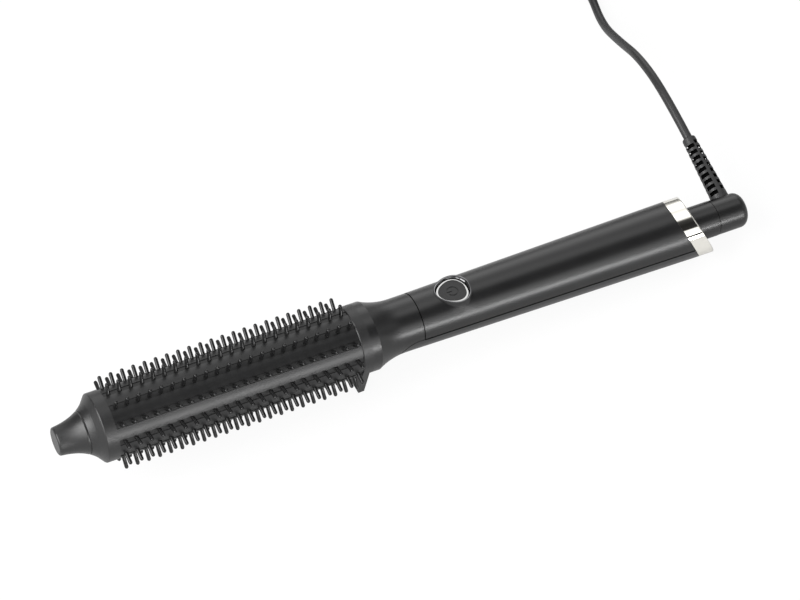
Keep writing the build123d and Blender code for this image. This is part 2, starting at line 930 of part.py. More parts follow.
def make_supply_leads():
    near = terminal_face()
    far = contact_ring_stations[0] - contact_block_margin - gap
    high = board_top + terminal_wire_height
    low = -contact_ring_radius - contact_block_drop - 2 * wire_radius
    bend = supply_lead_bend_runs * supply_lead_run
    wires = []
    for side in (-1, 1):
        points = [
            (near, side * supply_lead_start, high),
            (near + supply_lead_run, side * supply_lead_start, high),
            (near + bend, side * supply_lead_spread, high * supply_lead_rise_share),
            (far - bend, side * supply_lead_spread, low * supply_lead_fall_share),
            (far - supply_lead_run, side * supply_lead_end, low),
            (far, side * supply_lead_end, low),
        ]
        wires.append(wire(points, supply_lead_bend))
    return Compound(children=wires)


# Swivel

def make_socket():
    plate_front = band_front + casing_spigot + running
    plate = rod(band_front - past, band_rear + past, handle_end_radius - band_wall - fit)
    plate = after_slant(before_slant(plate, band_rear - plate_setback), plate_front)
    middle = plate_front + socket_sleeve_overlap
    sleeve = before_slant(rod(socket_inner_start, band_rear + past, socket_sleeve_radius), middle)
    hub = after_slant(rod(band_front - past, socket_end, socket_radius), middle)
    return plate + sleeve + hub - rod(socket_inner_start - 1, socket_end + 1, spindle_radius + running)


def make_spindle():
    body = rod(spindle_start, spindle_end, spindle_radius)
    body = body - rod(spindle_start - through, spindle_end + through, spindle_bore_radius)
    groove_end = socket_inner_start - gap
    return body - tube(groove_end - clip_thickness, groove_end, spindle_radius + 2, clip_groove_radius)


def make_contact_rings():
    return Compound(children=[
        tube(x, x + contact_ring_width, contact_ring_radius, spindle_radius) for x in contact_ring_stations
    ])


def make_clip():
    end = socket_inner_start - gap
    clip = tube(end - clip_thickness, end, clip_radius, clip_groove_radius)
    half = clip_mouth / 2
    return clip - block(end - 2 * clip_thickness, end + clip_thickness, -half, half, 0, 2 * clip_radius)


def make_contact_block():
    x0 = contact_ring_stations[0] - contact_block_margin
    x1 = contact_ring_stations[-1] + contact_ring_width + contact_block_margin
    wide = contact_block_width / 2
    top = -contact_ring_radius - contact_block_drop
    body = block(x0, x1, -wide, wide, -handle_end_radius, top)
    return body & handle_core(casing_wall + fit, x0 - through, x1 + through)


def make_slip_contacts():
    top = -contact_ring_radius - contact_block_drop
    near = contact_ring_radius + finger_side_clearance
    fingers = []
    for x, side in zip(contact_ring_stations, (-1, 1)):
        x0 = x + finger_inset
        x1 = x + contact_ring_width - finger_inset
        finger = block(x0, x1, near, near + finger_thickness, top, contact_ring_radius / 2)
        foot = block(x0, x1, near, contact_block_width / 2 - finger_inset, top, top + finger_thickness)
        finger = finger + foot
        fingers.append(finger if side > 0 else mirror(finger, Plane.XZ))
    return Compound(children=fingers)


def boot_place():
    """The plane across the strain relief at the brush's axis, with its normal along the strain relief."""
    rise = math.radians(boot_rise_angle)
    return Plane(origin=(boot_at, 0, 0), x_dir=(1, 0, 0), z_dir=(0, math.cos(rise), math.sin(rise)))


def make_elbow():
    front = socket_end + swivel_gap
    corner = elbow_end - elbow_round
    rim = elbow_radius - elbow_round
    share = math.sqrt(0.5)
    body = turned(
        (front, 0), (front, elbow_radius), (corner, elbow_radius),
        ((corner + elbow_round * share, rim + elbow_round * share), (elbow_end, rim)),
        (elbow_end, 0),
    )
    body = body - rod(front - through, spindle_end, spindle_radius)
    hole = boot_place() * Pos(0, 0, boot_root_at + past / 2) * Cylinder(boot_root_radius, past)
    return body - hole


def boot_radius(along):
    share = (along - elbow_radius) / (boot_end - elbow_radius)
    return boot_root_radius + (boot_end_radius - boot_root_radius) * max(0.0, share)


def make_strain_relief():
    body = outline(
        Plane.XZ, (0, boot_root_at), (boot_root_radius, boot_root_at), (boot_root_radius, elbow_radius),
        (boot_end_radius, boot_end), (0, boot_end),
    )
    body = revolve(body, Axis.Z)
    body = fillet(body.faces().sort_by(Axis.Z)[-1].edges(), boot_end_round)
    slots = []
    for row in range(slot_rows):
        for k in range(slots_per_row):
            along = slot_first + k * slot_pitch + (row % 2) * slot_pitch / 2
            if along > boot_end - slot_end_margin:
                continue
            out = boot_radius(along)
            cutter = Box(slot_cutter_depth, slot_chord, slot_width)
            slot = Pos(out - slot_depth + slot_cutter_depth / 2, 0, along) * cutter
            slots.append(Rot(0, 0, slot_row_angle + 360 / slot_rows * row) * slot)
    return boot_place() * (body - slots)


# Cord

def laid(start, places, level):
    """Places of a route as points: offsets from its start, and heights from its last level to its start."""
    return [Vector(start.X + x, start.Y + y, level + share * (start.Z - level)) for x, y, share in places]


def corner_radii(points):
    """The radius of each corner of a route: as large as its two runs allow."""
    radii = []
    for a, b, c in zip(points, points[1:], points[2:]):
        turn = math.radians((b - a).get_angle(c - b))
        radii.append(cord_corner_share * min((b - a).length, (c - b).length) / math.tan(turn / 2))
    return radii


def cord_along(name, points):
    radii = corner_radii(points)
    path = FilletPolyline(*points, radius=radii)
    solid = sweep(Plane(origin=points[0], z_dir=path % 0) * Circle(cord_radius), path=path)
    section = math.pi * cord_radius ** 2
    print(name, "corner radii", [round(r, 1) for r in radii], "length", round(path.length, 1),
          "volume over section times length", round(solid.volume / (section * path.length), 4))
    return solid, path.length


def coil_place(angle, outer):
    """A place on the coil about its centre, and the direction there. The angle runs over all the turns."""
    per_layer = 2 * math.pi * coil_turns_per_layer
    layer = min(int(angle / per_layer + 1e-9), coil_layers - 1)
    within = angle - layer * per_layer
    inwards = layer % 2 == 0
    moved = coil_pitch * within / (2 * math.pi)
    radius = outer - moved if inwards else coil_inner_radius + moved
    rate = -coil_pitch / (2 * math.pi) if inwards else coil_pitch / (2 * math.pi)
    at_turning = min(within, per_layer - within) < 1e-6
    if at_turning:
        rate = 0.0
    height = layer * coil_pitch
    climb = 0.0
    quarter = math.pi / 2
    if layer < coil_layers - 1 and per_layer - within < quarter - 1e-9:
        phase = quarter - (per_layer - within)
        height += coil_pitch * (1 - math.cos(phase)) / 2
        climb = coil_pitch * math.sin(phase) / 2
    if layer > 0 and within < quarter - 1e-9:
        phase = quarter + within
        height += coil_pitch * (1 - math.cos(phase)) / 2 - coil_pitch
        climb = coil_pitch * math.sin(phase) / 2
    turn = math.pi - angle
    out = Vector(math.cos(turn), math.sin(turn), 0)
    ahead = Vector(math.sin(turn), -math.cos(turn), 0)
    place = out * radius + Vector(0, 0, height)
    direction = (ahead * radius + out * rate + Vector(0, 0, climb)).normalized()
    return place, direction


def biarc(start, start_way, end, end_way):
    """Two arcs that join two places with given directions."""
    span = end - start
    both = start_way + end_way
    share = 2 * (1 - start_way.dot(end_way))
    along = span.dot(both)
    reach = (-along + math.sqrt(along * along + share * span.dot(span))) / share
    first = start + start_way * reach
    second = end - end_way * reach
    middle = (first + second) * 0.5
    way = (second - first).normalized()
    return [Edge.make_tangent_arc(start, start_way, middle), Edge.make_tangent_arc(middle, way, end)]


def coil_edges(centre, outer):
    """The coil's centre line, with a short straight end at each side."""
    steps = 4 * coil_turns_per_layer * coil_layers
    places = [coil_place(k * math.pi / 2, outer) for k in range(steps + 1)]
    straight = Vector(0, 2 * cord_radius, 0)
    first = centre + places[0][0]
    last = centre + places[-1][0]
    edges = [Edge.make_line(first - straight, first)]
    for (a, way_a), (b, way_b) in zip(places, places[1:]):
        edges += biarc(centre + a, way_a, centre + b, way_b)
    edges.append(Edge.make_line(last, last + straight))
    return edges


def coil_gap(edges):
    """The least gap between turns, on points spaced along the coil's centre line."""
    points = []
    for edge in edges:
        count = max(2, int(edge.length / 3))
        points += [edge.position_at(k / count) for k in range(count)]
    places = [(p.X, p.Y, p.Z) for p in points]
    lengths = [0.0]
    for a, b in zip(places, places[1:]):
        lengths.append(lengths[-1] + math.dist(a, b))
    least = 1e9
    for i, a in enumerate(places):
        for j in range(i + 1, len(places)):
            if lengths[j] - lengths[i] > 6 * cord_radius:
                least = min(least, math.dist(a, places[j]))
    return least - 2 * cord_radius


def make_tie(centre, outer):
    """A flat strap round the coil's section, on the side away from where the cord comes in."""
    half_turn_in = coil_pitch / 2
    far = outer - half_turn_in + cord_radius + tie_clearance
    near = outer - half_turn_in - (coil_turns_per_layer - 1) * coil_pitch - cord_radius - tie_clearance
    low = -cord_radius - tie_clearance
    high = (coil_layers - 1) * coil_pitch + cord_radius + tie_clearance
    wide = tie_width / 2
    thick = tie_thickness
    ring = block(near - thick, far + thick, -wide, wide, low - thick, high + thick)
    return Pos(*centre) * (ring - block(near, far, -wide - through, wide + through, low, high))


def make_plug(rear):
    """The plug body, lying flat with its pins along X, and its two pins, each with an insulated base."""
    length = plug_length
    front = plug_front_width / 2
    back = plug_rear_width / 2
    waist = back + (front - back) * plug_waist_share
    shape = outline(
        Plane.XY, (0, -back), (0, back),
        ((length * plug_waist_at, waist), (length * plug_front_at, front)),
        (length, front), (length, -front), (length * plug_front_at, -front),
        ((length * plug_waist_at, -waist), (0, -back)),
    )
    body = Pos(0, 0, -plug_height / 2) * extrude(shape, plug_height, dir=(0, 0, 1))
    body = fillet(body.edges().filter_by(Axis.Z), plug_corner_round)
    rims = [body.faces().sort_by(Axis.Z)[-1].edges(), body.faces().sort_by(Axis.Z)[0].edges()]
    body = fillet(rims[0] + rims[1], plug_edge_round)
    base_end = length + pin_base_length
    tip = rod(base_end, base_end + pin_tip_length, pin_radius)
    tip = fillet(tip.faces().sort_by(Axis.X)[-1].edges(), pin_tip_round)
    pin = rod(length - pin_inset, base_end, pin_base_radius) + tip
    pins = [Pos(0, side * pin_spacing / 2, 0) * pin for side in (-1, 1)]
    return Pos(*rear) * (body - pins), Compound(children=[Pos(*rear) * p for p in pins])


def make_cord(exit_place, exit_way):
    """The free cord with its coil, tie and plug, in the frame of the table."""
    level = cord_radius + tie_clearance + tie_thickness + tie_rest
    lead_route = [exit_place, exit_place + exit_way * lead_first_run] + laid(exit_place, lead_places, level)
    lead, lead_length = cord_along("lead", lead_route)
    outer = coil_inner_radius + coil_pitch * coil_turns_per_layer
    entry = lead_route[-1]
    centre = entry + Vector(outer, 2 * cord_radius, 0)
    edges = coil_edges(centre, outer)
    coil = sweep(Plane(origin=entry, z_dir=(0, 1, 0)) * Circle(cord_radius), path=Wire(edges))
    coil_length = sum(e.length for e in edges)
    least = coil_gap(edges)
    share = coil.volume / (math.pi * cord_radius ** 2 * coil_length)
    print("coil length", round(coil_length, 1), "least gap to itself", round(least, 3),
          "volume over section times length", round(share, 4))
    if least < coil_least_gap:
        print("the coil's turns lie closer than wanted")
    leave = edges[-1] @ 1
    tail_route = [leave] + laid(leave, tail_places, plug_height / 2)
    tail, tail_length = cord_along("tail", tail_route)
    print("cord length", round(lead_length + coil_length + tail_length, 1), "coil centre", centre)
    print("lead", [tuple(p) for p in lead_route])
    print("tail", [tuple(p) for p in tail_route])
    plug, pins = make_plug(tail_route[-1])
    return {
        "cord_lead": lead,
        "cord_coil": coil,
        "cord_tail": tail,
        "cord_tie": make_tie(centre, outer),
        "plug_body": plug,
        "plug_pins": pins,
    }


def make_brush():
    """Every piece of the brush along its own axis."""
    pieces = {
        "nose_cap": make_nose_cap(),
        "front_collar": make_front_collar(),
        "nose_screw": make_nose_screw(),
        "heater_barrel": make_barrel(),
    }
    strip = make_strip()
    for k in range(strip_count):
        turn = strip_first_angle + k * 360 / strip_count
        pieces[f"bristle_strip_{k + 1:02d}"] = Rot(turn, 0, 0) * strip
    pieces.update({
        "front_insulator": make_front_insulator(),
        "heat_spreader_upper": make_spreader(1),
        "heat_spreader_lower": make_spreader(-1),
        "heating_plate": make_heating_plate(),
        "insulating_film": make_film(),
        "rear_insulator": make_rear_insulator(),
        "thermal_cutout": make_cutout(),
        "temperature_sensor": make_sensor(),
        "rear_collar": make_rear_collar(),
        "collar_screws": make_collar_screws(),
        "neck_sleeve": make_neck_sleeve(),
        "upper_casing": make_upper_casing(),
        "lower_casing": make_lower_casing(),
        "casing_screws": make_casing_screws(),
        "end_band": make_end_band(),
        "button_bezel": make_bezel(),
        "power_button": make_power_button(),
        "button_ring": make_button_ring(),
        "switch_plunger": make_plunger(),
        "tact_switch": make_tact_switch(),
        "control_board": make_board(),
        "status_lamp": make_status_lamp(),
        "smoothing_capacitor": make_capacitor(),
        "power_switch": make_power_switch(),
        "controller_chip": make_controller(),
        "terminal_block": make_terminals(),
        "heater_leads": make_heater_leads(),
        "supply_leads": make_supply_leads(),
        "swivel_socket": make_socket(),
        "swivel_spindle": make_spindle(),
        "contact_rings": make_contact_rings(),
        "retaining_clip": make_clip(),
        "contact_block": make_contact_block(),
        "slip_contacts": make_slip_contacts(),
        "swivel_elbow": make_elbow(),
        "strain_relief": make_strain_relief(),
    })
    return pieces


def main():
    os.makedirs("parts", exist_ok=True)
    pieces = make_brush()
    tilt = Rot(0, rest_angle, 0)
    low = (tilt * pieces["rear_collar"]).bounding_box().min.Z
    nose = (tilt * pieces["nose_cap"]).bounding_box().min.X
    tail = (tilt * pieces["swivel_elbow"]).bounding_box().max.X
    rest = Pos(-(nose + tail) / 2, 0, -low) * tilt
    placed = {name: rest * piece for name, piece in pieces.items()}
    boot_tip = (rest * Pos(*boot_place().from_local_coords((0, 0, boot_end)))).position
    boot_foot = (rest * Pos(*boot_place().origin)).position
    placed.update(make_cord(boot_tip, (boot_tip - boot_foot).normalized()))
    for name, piece in placed.items():
        export_step(piece, f"parts/{name}.step")
    axis = (tilt * Pos(1, 0, 0)).position
    up = (tilt * Pos(0, 0, 1)).position
    print("rest angle", round(rest_angle, 3), "axis", axis, "up", up)
    print("swivel on the axis at", (rest * Pos(socket_end, 0, 0)).position)
    print("nodes", len(placed))


main()
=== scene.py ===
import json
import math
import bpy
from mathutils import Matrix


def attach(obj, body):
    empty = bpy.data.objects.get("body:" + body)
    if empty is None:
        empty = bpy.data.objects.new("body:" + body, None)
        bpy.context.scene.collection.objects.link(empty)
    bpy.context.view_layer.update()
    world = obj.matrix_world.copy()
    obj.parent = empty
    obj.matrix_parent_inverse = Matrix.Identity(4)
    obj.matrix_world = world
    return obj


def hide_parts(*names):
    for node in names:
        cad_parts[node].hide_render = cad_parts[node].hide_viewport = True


bl_info = {
    "name": "Heated styling brush",
    "version": (1, 0, 0),
    "blender": (4, 5, 0),
    "location": "View3D > Sidebar > Styling Brush",
    "description": "Dresses the packed styling brush with bristles, a cord, finishes and a plain studio",
    "category": "Object",
}

import bpy
from bpy.props import FloatProperty, FloatVectorProperty, IntProperty, PointerProperty
from mathutils import Matrix, Vector

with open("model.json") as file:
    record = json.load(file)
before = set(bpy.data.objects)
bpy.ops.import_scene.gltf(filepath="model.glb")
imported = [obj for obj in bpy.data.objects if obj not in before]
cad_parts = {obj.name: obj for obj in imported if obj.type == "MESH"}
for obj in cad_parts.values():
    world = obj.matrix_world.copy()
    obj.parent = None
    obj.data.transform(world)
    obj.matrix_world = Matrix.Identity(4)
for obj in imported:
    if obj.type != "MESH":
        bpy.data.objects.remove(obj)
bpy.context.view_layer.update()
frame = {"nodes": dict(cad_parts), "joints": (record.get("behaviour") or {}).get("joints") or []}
NODES = frame["nodes"]
SWIVEL = next(j for j in frame["joints"] if j["name"] == "cord_swivel")
ALONG = Vector(SWIVEL["axis"]).normalized()
ABOVE = Vector((-ALONG.z, 0, ALONG.x))
JOINT_STATION = 0.329


def on_brush(station, side=0.0, height=0.0):
    """A place given along the brush from its nose, to its far side and above its axis, in metres."""
    return Vector(SWIVEL["pos_m"]) + ALONG * (station - JOINT_STATION) + Vector((0, side, 0)) + ABOVE * height


# The studio's light: an angle round the brush, up from the near horizon and over the top to the far one,
# and a strength
SKY = [
    (-180, 0.4), (-4, 0.6), (0, 21), (3, 18), (8, 11), (8.6, 10), (9.1, 0.03), (17.4, 0.03), (18, 4.6),
    (20, 3.6), (29, 1.8), (38, 1.2), (41, 0.03), (60, 0.02), (72, 0.04), (79, 0.09), (82, 0.6), (88, 1.6),
    (94, 1.9), (103, 1.7), (113, 1.2), (123, 1.0), (134, 1.6), (146, 2.3), (158, 2.0), (168, 0.8), (180, 0.4),
]
# The same for the light beyond the nose, and for the light beyond the tail
NOSE_SKY = [(-180, 0.2), (0, 1.2), (60, 0.9), (100, 0.6), (150, 0.15), (180, 0.1)]
TAIL_SKY = [
    (-180, 0.3), (0, 1.8), (12, 1.2), (26, 0.25), (40, 0.4), (54, 0.85), (68, 0.55), (90, 0.3), (125, 0.25),
    (150, 1.1), (180, 0.3),
]
# The X of a direction where the light beyond the nose, or beyond the tail, begins, and where it is full
NOSE_SHARE = (0.12, -0.15)
TAIL_SHARE = (0.46, 0.6)

# The free cord's route: from the strain relief, down to the table, round the coil and on to the plug
LEAD_ROUTE = [
    (0.1653471, 0.0404622, 0.0260591),
    (0.1658014, 0.0653915, 0.0334295),
    (0.1673471, 0.0932622, 0.0315765),
    (0.1707471, 0.1194622, 0.0173233),
    (0.1749471, 0.1444622, 0.0044493),
    (0.1811471, 0.1694622, 0.0030700),
    (0.1811471, 0.1954622, 0.0030700),
]
TAIL_ROUTE = [
    (0.1811471, 0.2038622, 0.0170200),
    (0.1811471, 0.2208622, 0.0170200),
    (0.1837471, 0.2374622, 0.0116536),
    (0.1935471, 0.2504622, 0.0075256),
    (0.2091471, 0.2558622, 0.0067000),
    (0.2241471, 0.2558622, 0.0067000),
]


class CameraSettings(bpy.types.PropertyGroup):
    place: FloatVectorProperty(name="Place", description="Where the camera stands", subtype="TRANSLATION",
                               size=3, default=(-0.356806, -0.785291, 1.085199))
    azimuth: FloatProperty(name="Azimuth",
                           description="Turn of the view about the vertical, from looking along Y",
                           subtype="ANGLE", default=math.radians(-24.1069))
    elevation: FloatProperty(name="Elevation", description="How far the camera looks down", subtype="ANGLE",
                             default=math.radians(50.4908))
    roll: FloatProperty(name="Roll", description="Tilt of the picture", subtype="ANGLE",
                        default=math.radians(-1.8505))
    lens: FloatProperty(name="Lens", description="Focal length on a 36 mm wide sensor", unit="CAMERA",
                        default=135.72)


class CordSettings(bpy.types.PropertyGroup):
    diameter: FloatProperty(name="Diameter", description="Outside diameter of the cord", unit="LENGTH",
                            default=0.0042)
    length: FloatProperty(name="Length", description="Whole length from strain relief to plug",
                          unit="LENGTH", default=2.0)
    inner_radius: FloatProperty(name="Inner radius", description="Radius of the coil's innermost turn",
                                unit="LENGTH", default=0.0165)
    pitch: FloatProperty(name="Pitch", description="Distance between turns and between layers",
                         unit="LENGTH", default=0.00465)
    turns: IntProperty(name="Turns", description="Turns in each layer of the coil", min=1, default=3)
    layers: IntProperty(name="Layers", description="Layers in the coil", min=1, default=4)
    per_turn: IntProperty(name="Points per turn", description="Points of the spline in each turn", min=12,
                          default=16)


class BristleSettings(bpy.types.PropertyGroup):
    rows: IntProperty(name="Rows", description="Rows of bristles round the barrel", min=1, default=12)
    first_row: FloatProperty(name="First row", description="Turn of the first row from the top",
                             subtype="ANGLE", default=math.radians(15))
    per_row: IntProperty(name="Bristles per row", description="Bristles in each row", min=1, default=22)
    pitch: FloatProperty(name="Pitch", description="Distance between bristles in a row", unit="LENGTH",
                         default=0.00532)
    radius: FloatProperty(name="Bristle radius", description="Radius of one bristle", unit="LENGTH",
                          default=0.0009)
    tip: FloatProperty(name="Tip radius", description="Distance of the bristles' tips from the axis",
                       unit="LENGTH", default=0.02148)
    root: FloatProperty(name="Root radius", description="Distance of the bristles' roots from the axis",
                        unit="LENGTH", default=0.0152)
    barrel_start: FloatProperty(name="Barrel start", description="Where the strips begin along the brush",
                                unit="LENGTH", default=0.0246)
    barrel_end: FloatProperty(name="Barrel end", description="Where the strips end along the brush",
                              unit="LENGTH", default=0.1414)
    strip_width: FloatProperty(name="Strip width",
                               description="Width of the strip that the bristles stand on", unit="LENGTH",
                               default=0.0027)
    strip_top: FloatProperty(name="Strip top", description="Distance of the strips' faces from the axis",
                             unit="LENGTH", default=0.01568)
    strip_foot: FloatProperty(name="Strip foot",
                              description="Distance of the strips' undersides from the axis", unit="LENGTH",
                              default=0.0137)
    strip_crown: FloatProperty(name="Strip crown",
                               description="How far the strips' edges drop below their middle",
                               unit="LENGTH", default=0.00006)
    collar: FloatProperty(name="Collar height",
                          description="Height of the wider foot of a bristle over its strip", unit="LENGTH",
                          default=0.00025)
    flare: FloatProperty(name="Collar flare", description="How much wider the foot of a bristle is", min=0,
                         default=0.45)
    dome: FloatProperty(name="Dome", description="Turn of the round end from its edge to its flat top",
                        subtype="ANGLE", default=math.radians(78))


class ReliefSettings(bpy.types.PropertyGroup):
    station: FloatProperty(name="Station", description="Where its middle line crosses the brush's axis",
                           unit="LENGTH", default=0.3375)
    rise: FloatProperty(name="Rise", description="How steeply the strain relief rises to the side",
                        subtype="ANGLE", default=math.radians(16.5))
    root_radius: FloatProperty(name="Root radius", description="Radius where its taper begins",
                               unit="LENGTH", default=0.0044)
    end_radius: FloatProperty(name="End radius", description="Radius where its taper ends", unit="LENGTH",
                              default=0.0033)
    root_at: FloatProperty(name="Root at", description="Distance of the taper's beginning from the axis",
                           unit="LENGTH", default=0.00835)
    end_at: FloatProperty(name="End at", description="Distance of the taper's end from the axis",
                          unit="LENGTH", default=0.0422)
    # The darkening down in the slots is painted shade
    shade_from: FloatProperty(name="Shade from", description="Depth at which a slot begins to darken",
                              unit="LENGTH", default=0.0001)
    shade_to: FloatProperty(name="Shade to", description="Depth at which a slot is darkest", unit="LENGTH",
                            default=0.0006)


class FinishSettings(bpy.types.PropertyGroup):
    casing: FloatVectorProperty(name="Casing", description="Colour of the handle's satin plastic",
                                subtype="COLOR", size=3, default=(0.005, 0.005, 0.0052))
    tip: FloatVectorProperty(name="Cool tip", description="Colour of the tip and the collars",
                             subtype="COLOR", size=3, default=(0.006, 0.006, 0.0062))
    barrel: FloatVectorProperty(name="Barrel", description="Colour of the barrel's coat", subtype="COLOR",
                                size=3, default=(0.006, 0.006, 0.0062))
    bristle: FloatVectorProperty(name="Bristles", description="Colour of the bristles", subtype="COLOR",
                                 size=3, default=(0.006, 0.006, 0.0062))
    band: FloatVectorProperty(name="Metal", description="Colour of the polished band", subtype="COLOR",
                              size=3, default=(0.9, 0.88, 0.82))
    bezel: FloatVectorProperty(name="Bezel", description="Colour of the rim that the button sinks into",
                               subtype="COLOR", size=3, default=(0.17, 0.17, 0.175))
    ring: FloatVectorProperty(name="Ring", description="Colour of the bright ring round the button",
                              subtype="COLOR", size=3, default=(0.62, 0.62, 0.61))
    cord: FloatVectorProperty(name="Cord", description="Colour of the cord and strain relief",
                              subtype="COLOR", size=3, default=(0.016, 0.016, 0.0165))


class StageSettings(bpy.types.PropertyGroup):
    floor_size: FloatProperty(name="Floor size", description="Side of the pale floor", unit="LENGTH",
                              default=8.0)
    floor_white: FloatProperty(name="Floor white", description="How white the floor's own colour is", min=0,
                               max=1, default=0.5)
    floor_glow: FloatProperty(name="Floor glow",
                              description="How much of the floor's white is its own, and not lit", min=0,
                              max=1, default=0.88)
    floor_level: FloatProperty(name="Floor level", description="Brightness of the floor's own white", min=0,
                               default=1.05)
    floor_mirrored: FloatProperty(name="Floor mirrored",
                                  description="How much of the white is the floor's own in mirrored views",
                                  min=0, max=1, default=0.3)
    sky: FloatProperty(name="Sky", description="Strength of the studio's light round the brush", min=0,
                       default=1.0)
    side: FloatProperty(name="Side", description="Strength of the large lamp beyond the nose", unit="POWER",
                        default=21.0)
    side_place: FloatVectorProperty(name="Side place", description="Where the large lamp hangs",
                                    subtype="TRANSLATION", size=3, default=(-0.99, 0.02, 0.9))
    side_size: FloatVectorProperty(name="Side size", description="Width and height of the large lamp",
                                   unit="LENGTH", size=2, default=(0.75, 1.0))
    fill: FloatProperty(name="Fill",
                        description="Strength of the weaker lamp beyond the nose on the near side",
                        unit="POWER", default=9.0)
    fill_place: FloatVectorProperty(name="Fill place", description="Where the weaker lamp hangs",
                                    subtype="TRANSLATION", size=3, default=(-0.85, -0.62, 0.85))
    fill_size: FloatVectorProperty(name="Fill size", description="Width and height of the weaker lamp",
                                   unit="LENGTH", size=2, default=(0.6, 0.9))
    aim: FloatVectorProperty(name="Aim", description="The place by the nose that both lamps face",
                             subtype="TRANSLATION", size=3, default=(-0.17, 0.0, 0.03))


def settings():
    return bpy.context.scene.styling_brush


# Node helpers

def feed(tree, socket, value):
    """Gives a socket a link or a plain value."""
    if isinstance(value, bpy.types.NodeSocket):
        tree.links.new(value, socket)
    else:
        socket.default_value = value


def maths(tree, operation, *values):
    """The result of a maths node, whose inputs are links or plain numbers."""
    node = tree.nodes.new("ShaderNodeMath")
    node.operation = operation
    for socket, value in zip(node.inputs, values):
        feed(tree, socket, value)
    return node.outputs["Value"]


def mixed(tree, colour, other, share, blend="MIX"):
    """Two colours mixed. The node's inputs 6 and 7 are the colours, and its output 2 is the result."""
    mix = tree.nodes.new("ShaderNodeMix")
    mix.data_type = "RGBA"
    mix.blend_type = blend
    feed(tree, mix.inputs["Factor"], share)
    feed(tree, mix.inputs[6], colour)
    feed(tree, mix.inputs[7], other)
    return mix.outputs[2]


def between(tree, value, low, high, start=0.3, end=0.7, smooth=False):
    """A range from low to high that a value passes through as it goes from the start to the end."""
    span = tree.nodes.new("ShaderNodeMapRange")
    if smooth:
        span.interpolation_type = "SMOOTHSTEP"
    span.inputs["From Min"].default_value = start
    span.inputs["From Max"].default_value = end
    span.inputs["To Min"].default_value = low
    span.inputs["To Max"].default_value = high
    tree.links.new(value, span.inputs["Value"])
    return span.outputs["Result"]


# Finishes

def new_finish(name):
    finish = bpy.data.materials.new(name)
    finish.use_nodes = True
    tree = finish.node_tree
    tree.nodes.clear()
    out = tree.nodes.new("ShaderNodeOutputMaterial")
    shader = tree.nodes.new("ShaderNodeBsdfPrincipled")
    tree.links.new(shader.outputs["BSDF"], out.inputs["Surface"])
    place = tree.nodes.new("ShaderNodeTexCoord")
    return finish, tree, shader, place.outputs["Object"]


def cloud(tree, place, scale, detail, stretch=None):
    """A soft noise at a scale per metre, drawn out along the brush where a stretch is given."""
    if stretch is not None:
        turn = tree.nodes.new("ShaderNodeMapping")
        turn.vector_type = "POINT"
        turn.inputs["Rotation"].default_value = (0, math.asin(ALONG.z), 0)
        turn.inputs["Scale"].default_value = stretch
        tree.links.new(place, turn.inputs["Vector"])
        place = turn.outputs["Vector"]
    noise = tree.nodes.new("ShaderNodeTexNoise")
    noise.inputs["Scale"].default_value = scale
    noise.inputs["Detail"].default_value = detail
    tree.links.new(place, noise.inputs["Vector"])
    return noise.outputs["Fac"]


def tinted(tree, value, colour, spread):
    """A colour that varies a little in brightness with a noise."""
    ramp = tree.nodes.new("ShaderNodeValToRGB")
    ramp.color_ramp.elements[0].position = 0.3
    ramp.color_ramp.elements[1].position = 0.7
    ramp.color_ramp.elements[0].color = (*[c * (1 - spread) for c in colour], 1)
    ramp.color_ramp.elements[1].color = (*[c * (1 + spread) for c in colour], 1)
    tree.links.new(value, ramp.inputs["Fac"])
    return ramp.outputs["Color"]


def grained(tree, shader, value, depth):
    bump = tree.nodes.new("ShaderNodeBump")
    bump.inputs["Distance"].default_value = depth
    tree.links.new(value, bump.inputs["Height"])
    tree.links.new(bump.outputs["Normal"], shader.inputs["Normal"])


def satin_moulding(name, colour, roughness, spread=0.12, grain=0.00002, grain_scale=2600.0):
    """Moulded plastic with a fine spark-eroded grain and faint handling marks."""
    finish, tree, shader, place = new_finish(name)
    broad = cloud(tree, place, scale=60.0, detail=2.0)
    fine = cloud(tree, place, scale=grain_scale, detail=2.0)
    tree.links.new(tinted(tree, broad, colour, spread), shader.inputs["Base Color"])
    dullness = between(tree, broad, roughness - 0.03, roughness + 0.03, start=0.1, end=0.9)
    tree.links.new(dullness, shader.inputs["Roughness"])
    grained(tree, shader, fine, grain)
    return finish


def barrel_coat(name, colour):
    """A smooth heat-proof coat over an extruded barrel, with faint lines along it."""
    finish, tree, shader, place = new_finish(name)
    lines = cloud(tree, place, scale=900.0, detail=3.0, stretch=(0.03, 1, 1))
    broad = cloud(tree, place, scale=45.0, detail=3.0)
    tree.links.new(tinted(tree, lines, colour, spread=0.18), shader.inputs["Base Color"])
    tree.links.new(between(tree, broad, 0.33, 0.38), shader.inputs["Roughness"])
    shader.inputs["Specular IOR Level"].default_value = 0.42
    grained(tree, shader, lines, depth=0.000012)
    return finish


def off_line(tree, place, start, way):
    """How far a place is from a line, and how far along the line from its start, in metres."""
    span = tree.nodes.new("ShaderNodeVectorMath")
    span.operation = "SUBTRACT"
    span.inputs[1].default_value = start
    tree.links.new(place, span.inputs[0])
    cross = tree.nodes.new("ShaderNodeVectorMath")
    cross.operation = "CROSS_PRODUCT"
    along = tree.nodes.new("ShaderNodeVectorMath")
    along.operation = "DOT_PRODUCT"
    for node in (cross, along):
        node.inputs[1].default_value = way
        tree.links.new(span.outputs["Vector"], node.inputs[0])
    length = tree.nodes.new("ShaderNodeVectorMath")
    length.operation = "LENGTH"
    tree.links.new(cross.outputs["Vector"], length.inputs[0])
    return length.outputs["Value"], along.outputs["Value"]


def paint_shade(tree, shader, colour, value, low, high, start, end):
    """Paints shade: multiplies a colour by a factor that changes with a value, and puts it on a shader."""
    factor = between(tree, value, low, high, start, end)
    tree.links.new(mixed(tree, colour, factor, 1.0, "MULTIPLY"), shader.inputs["Base Color"])


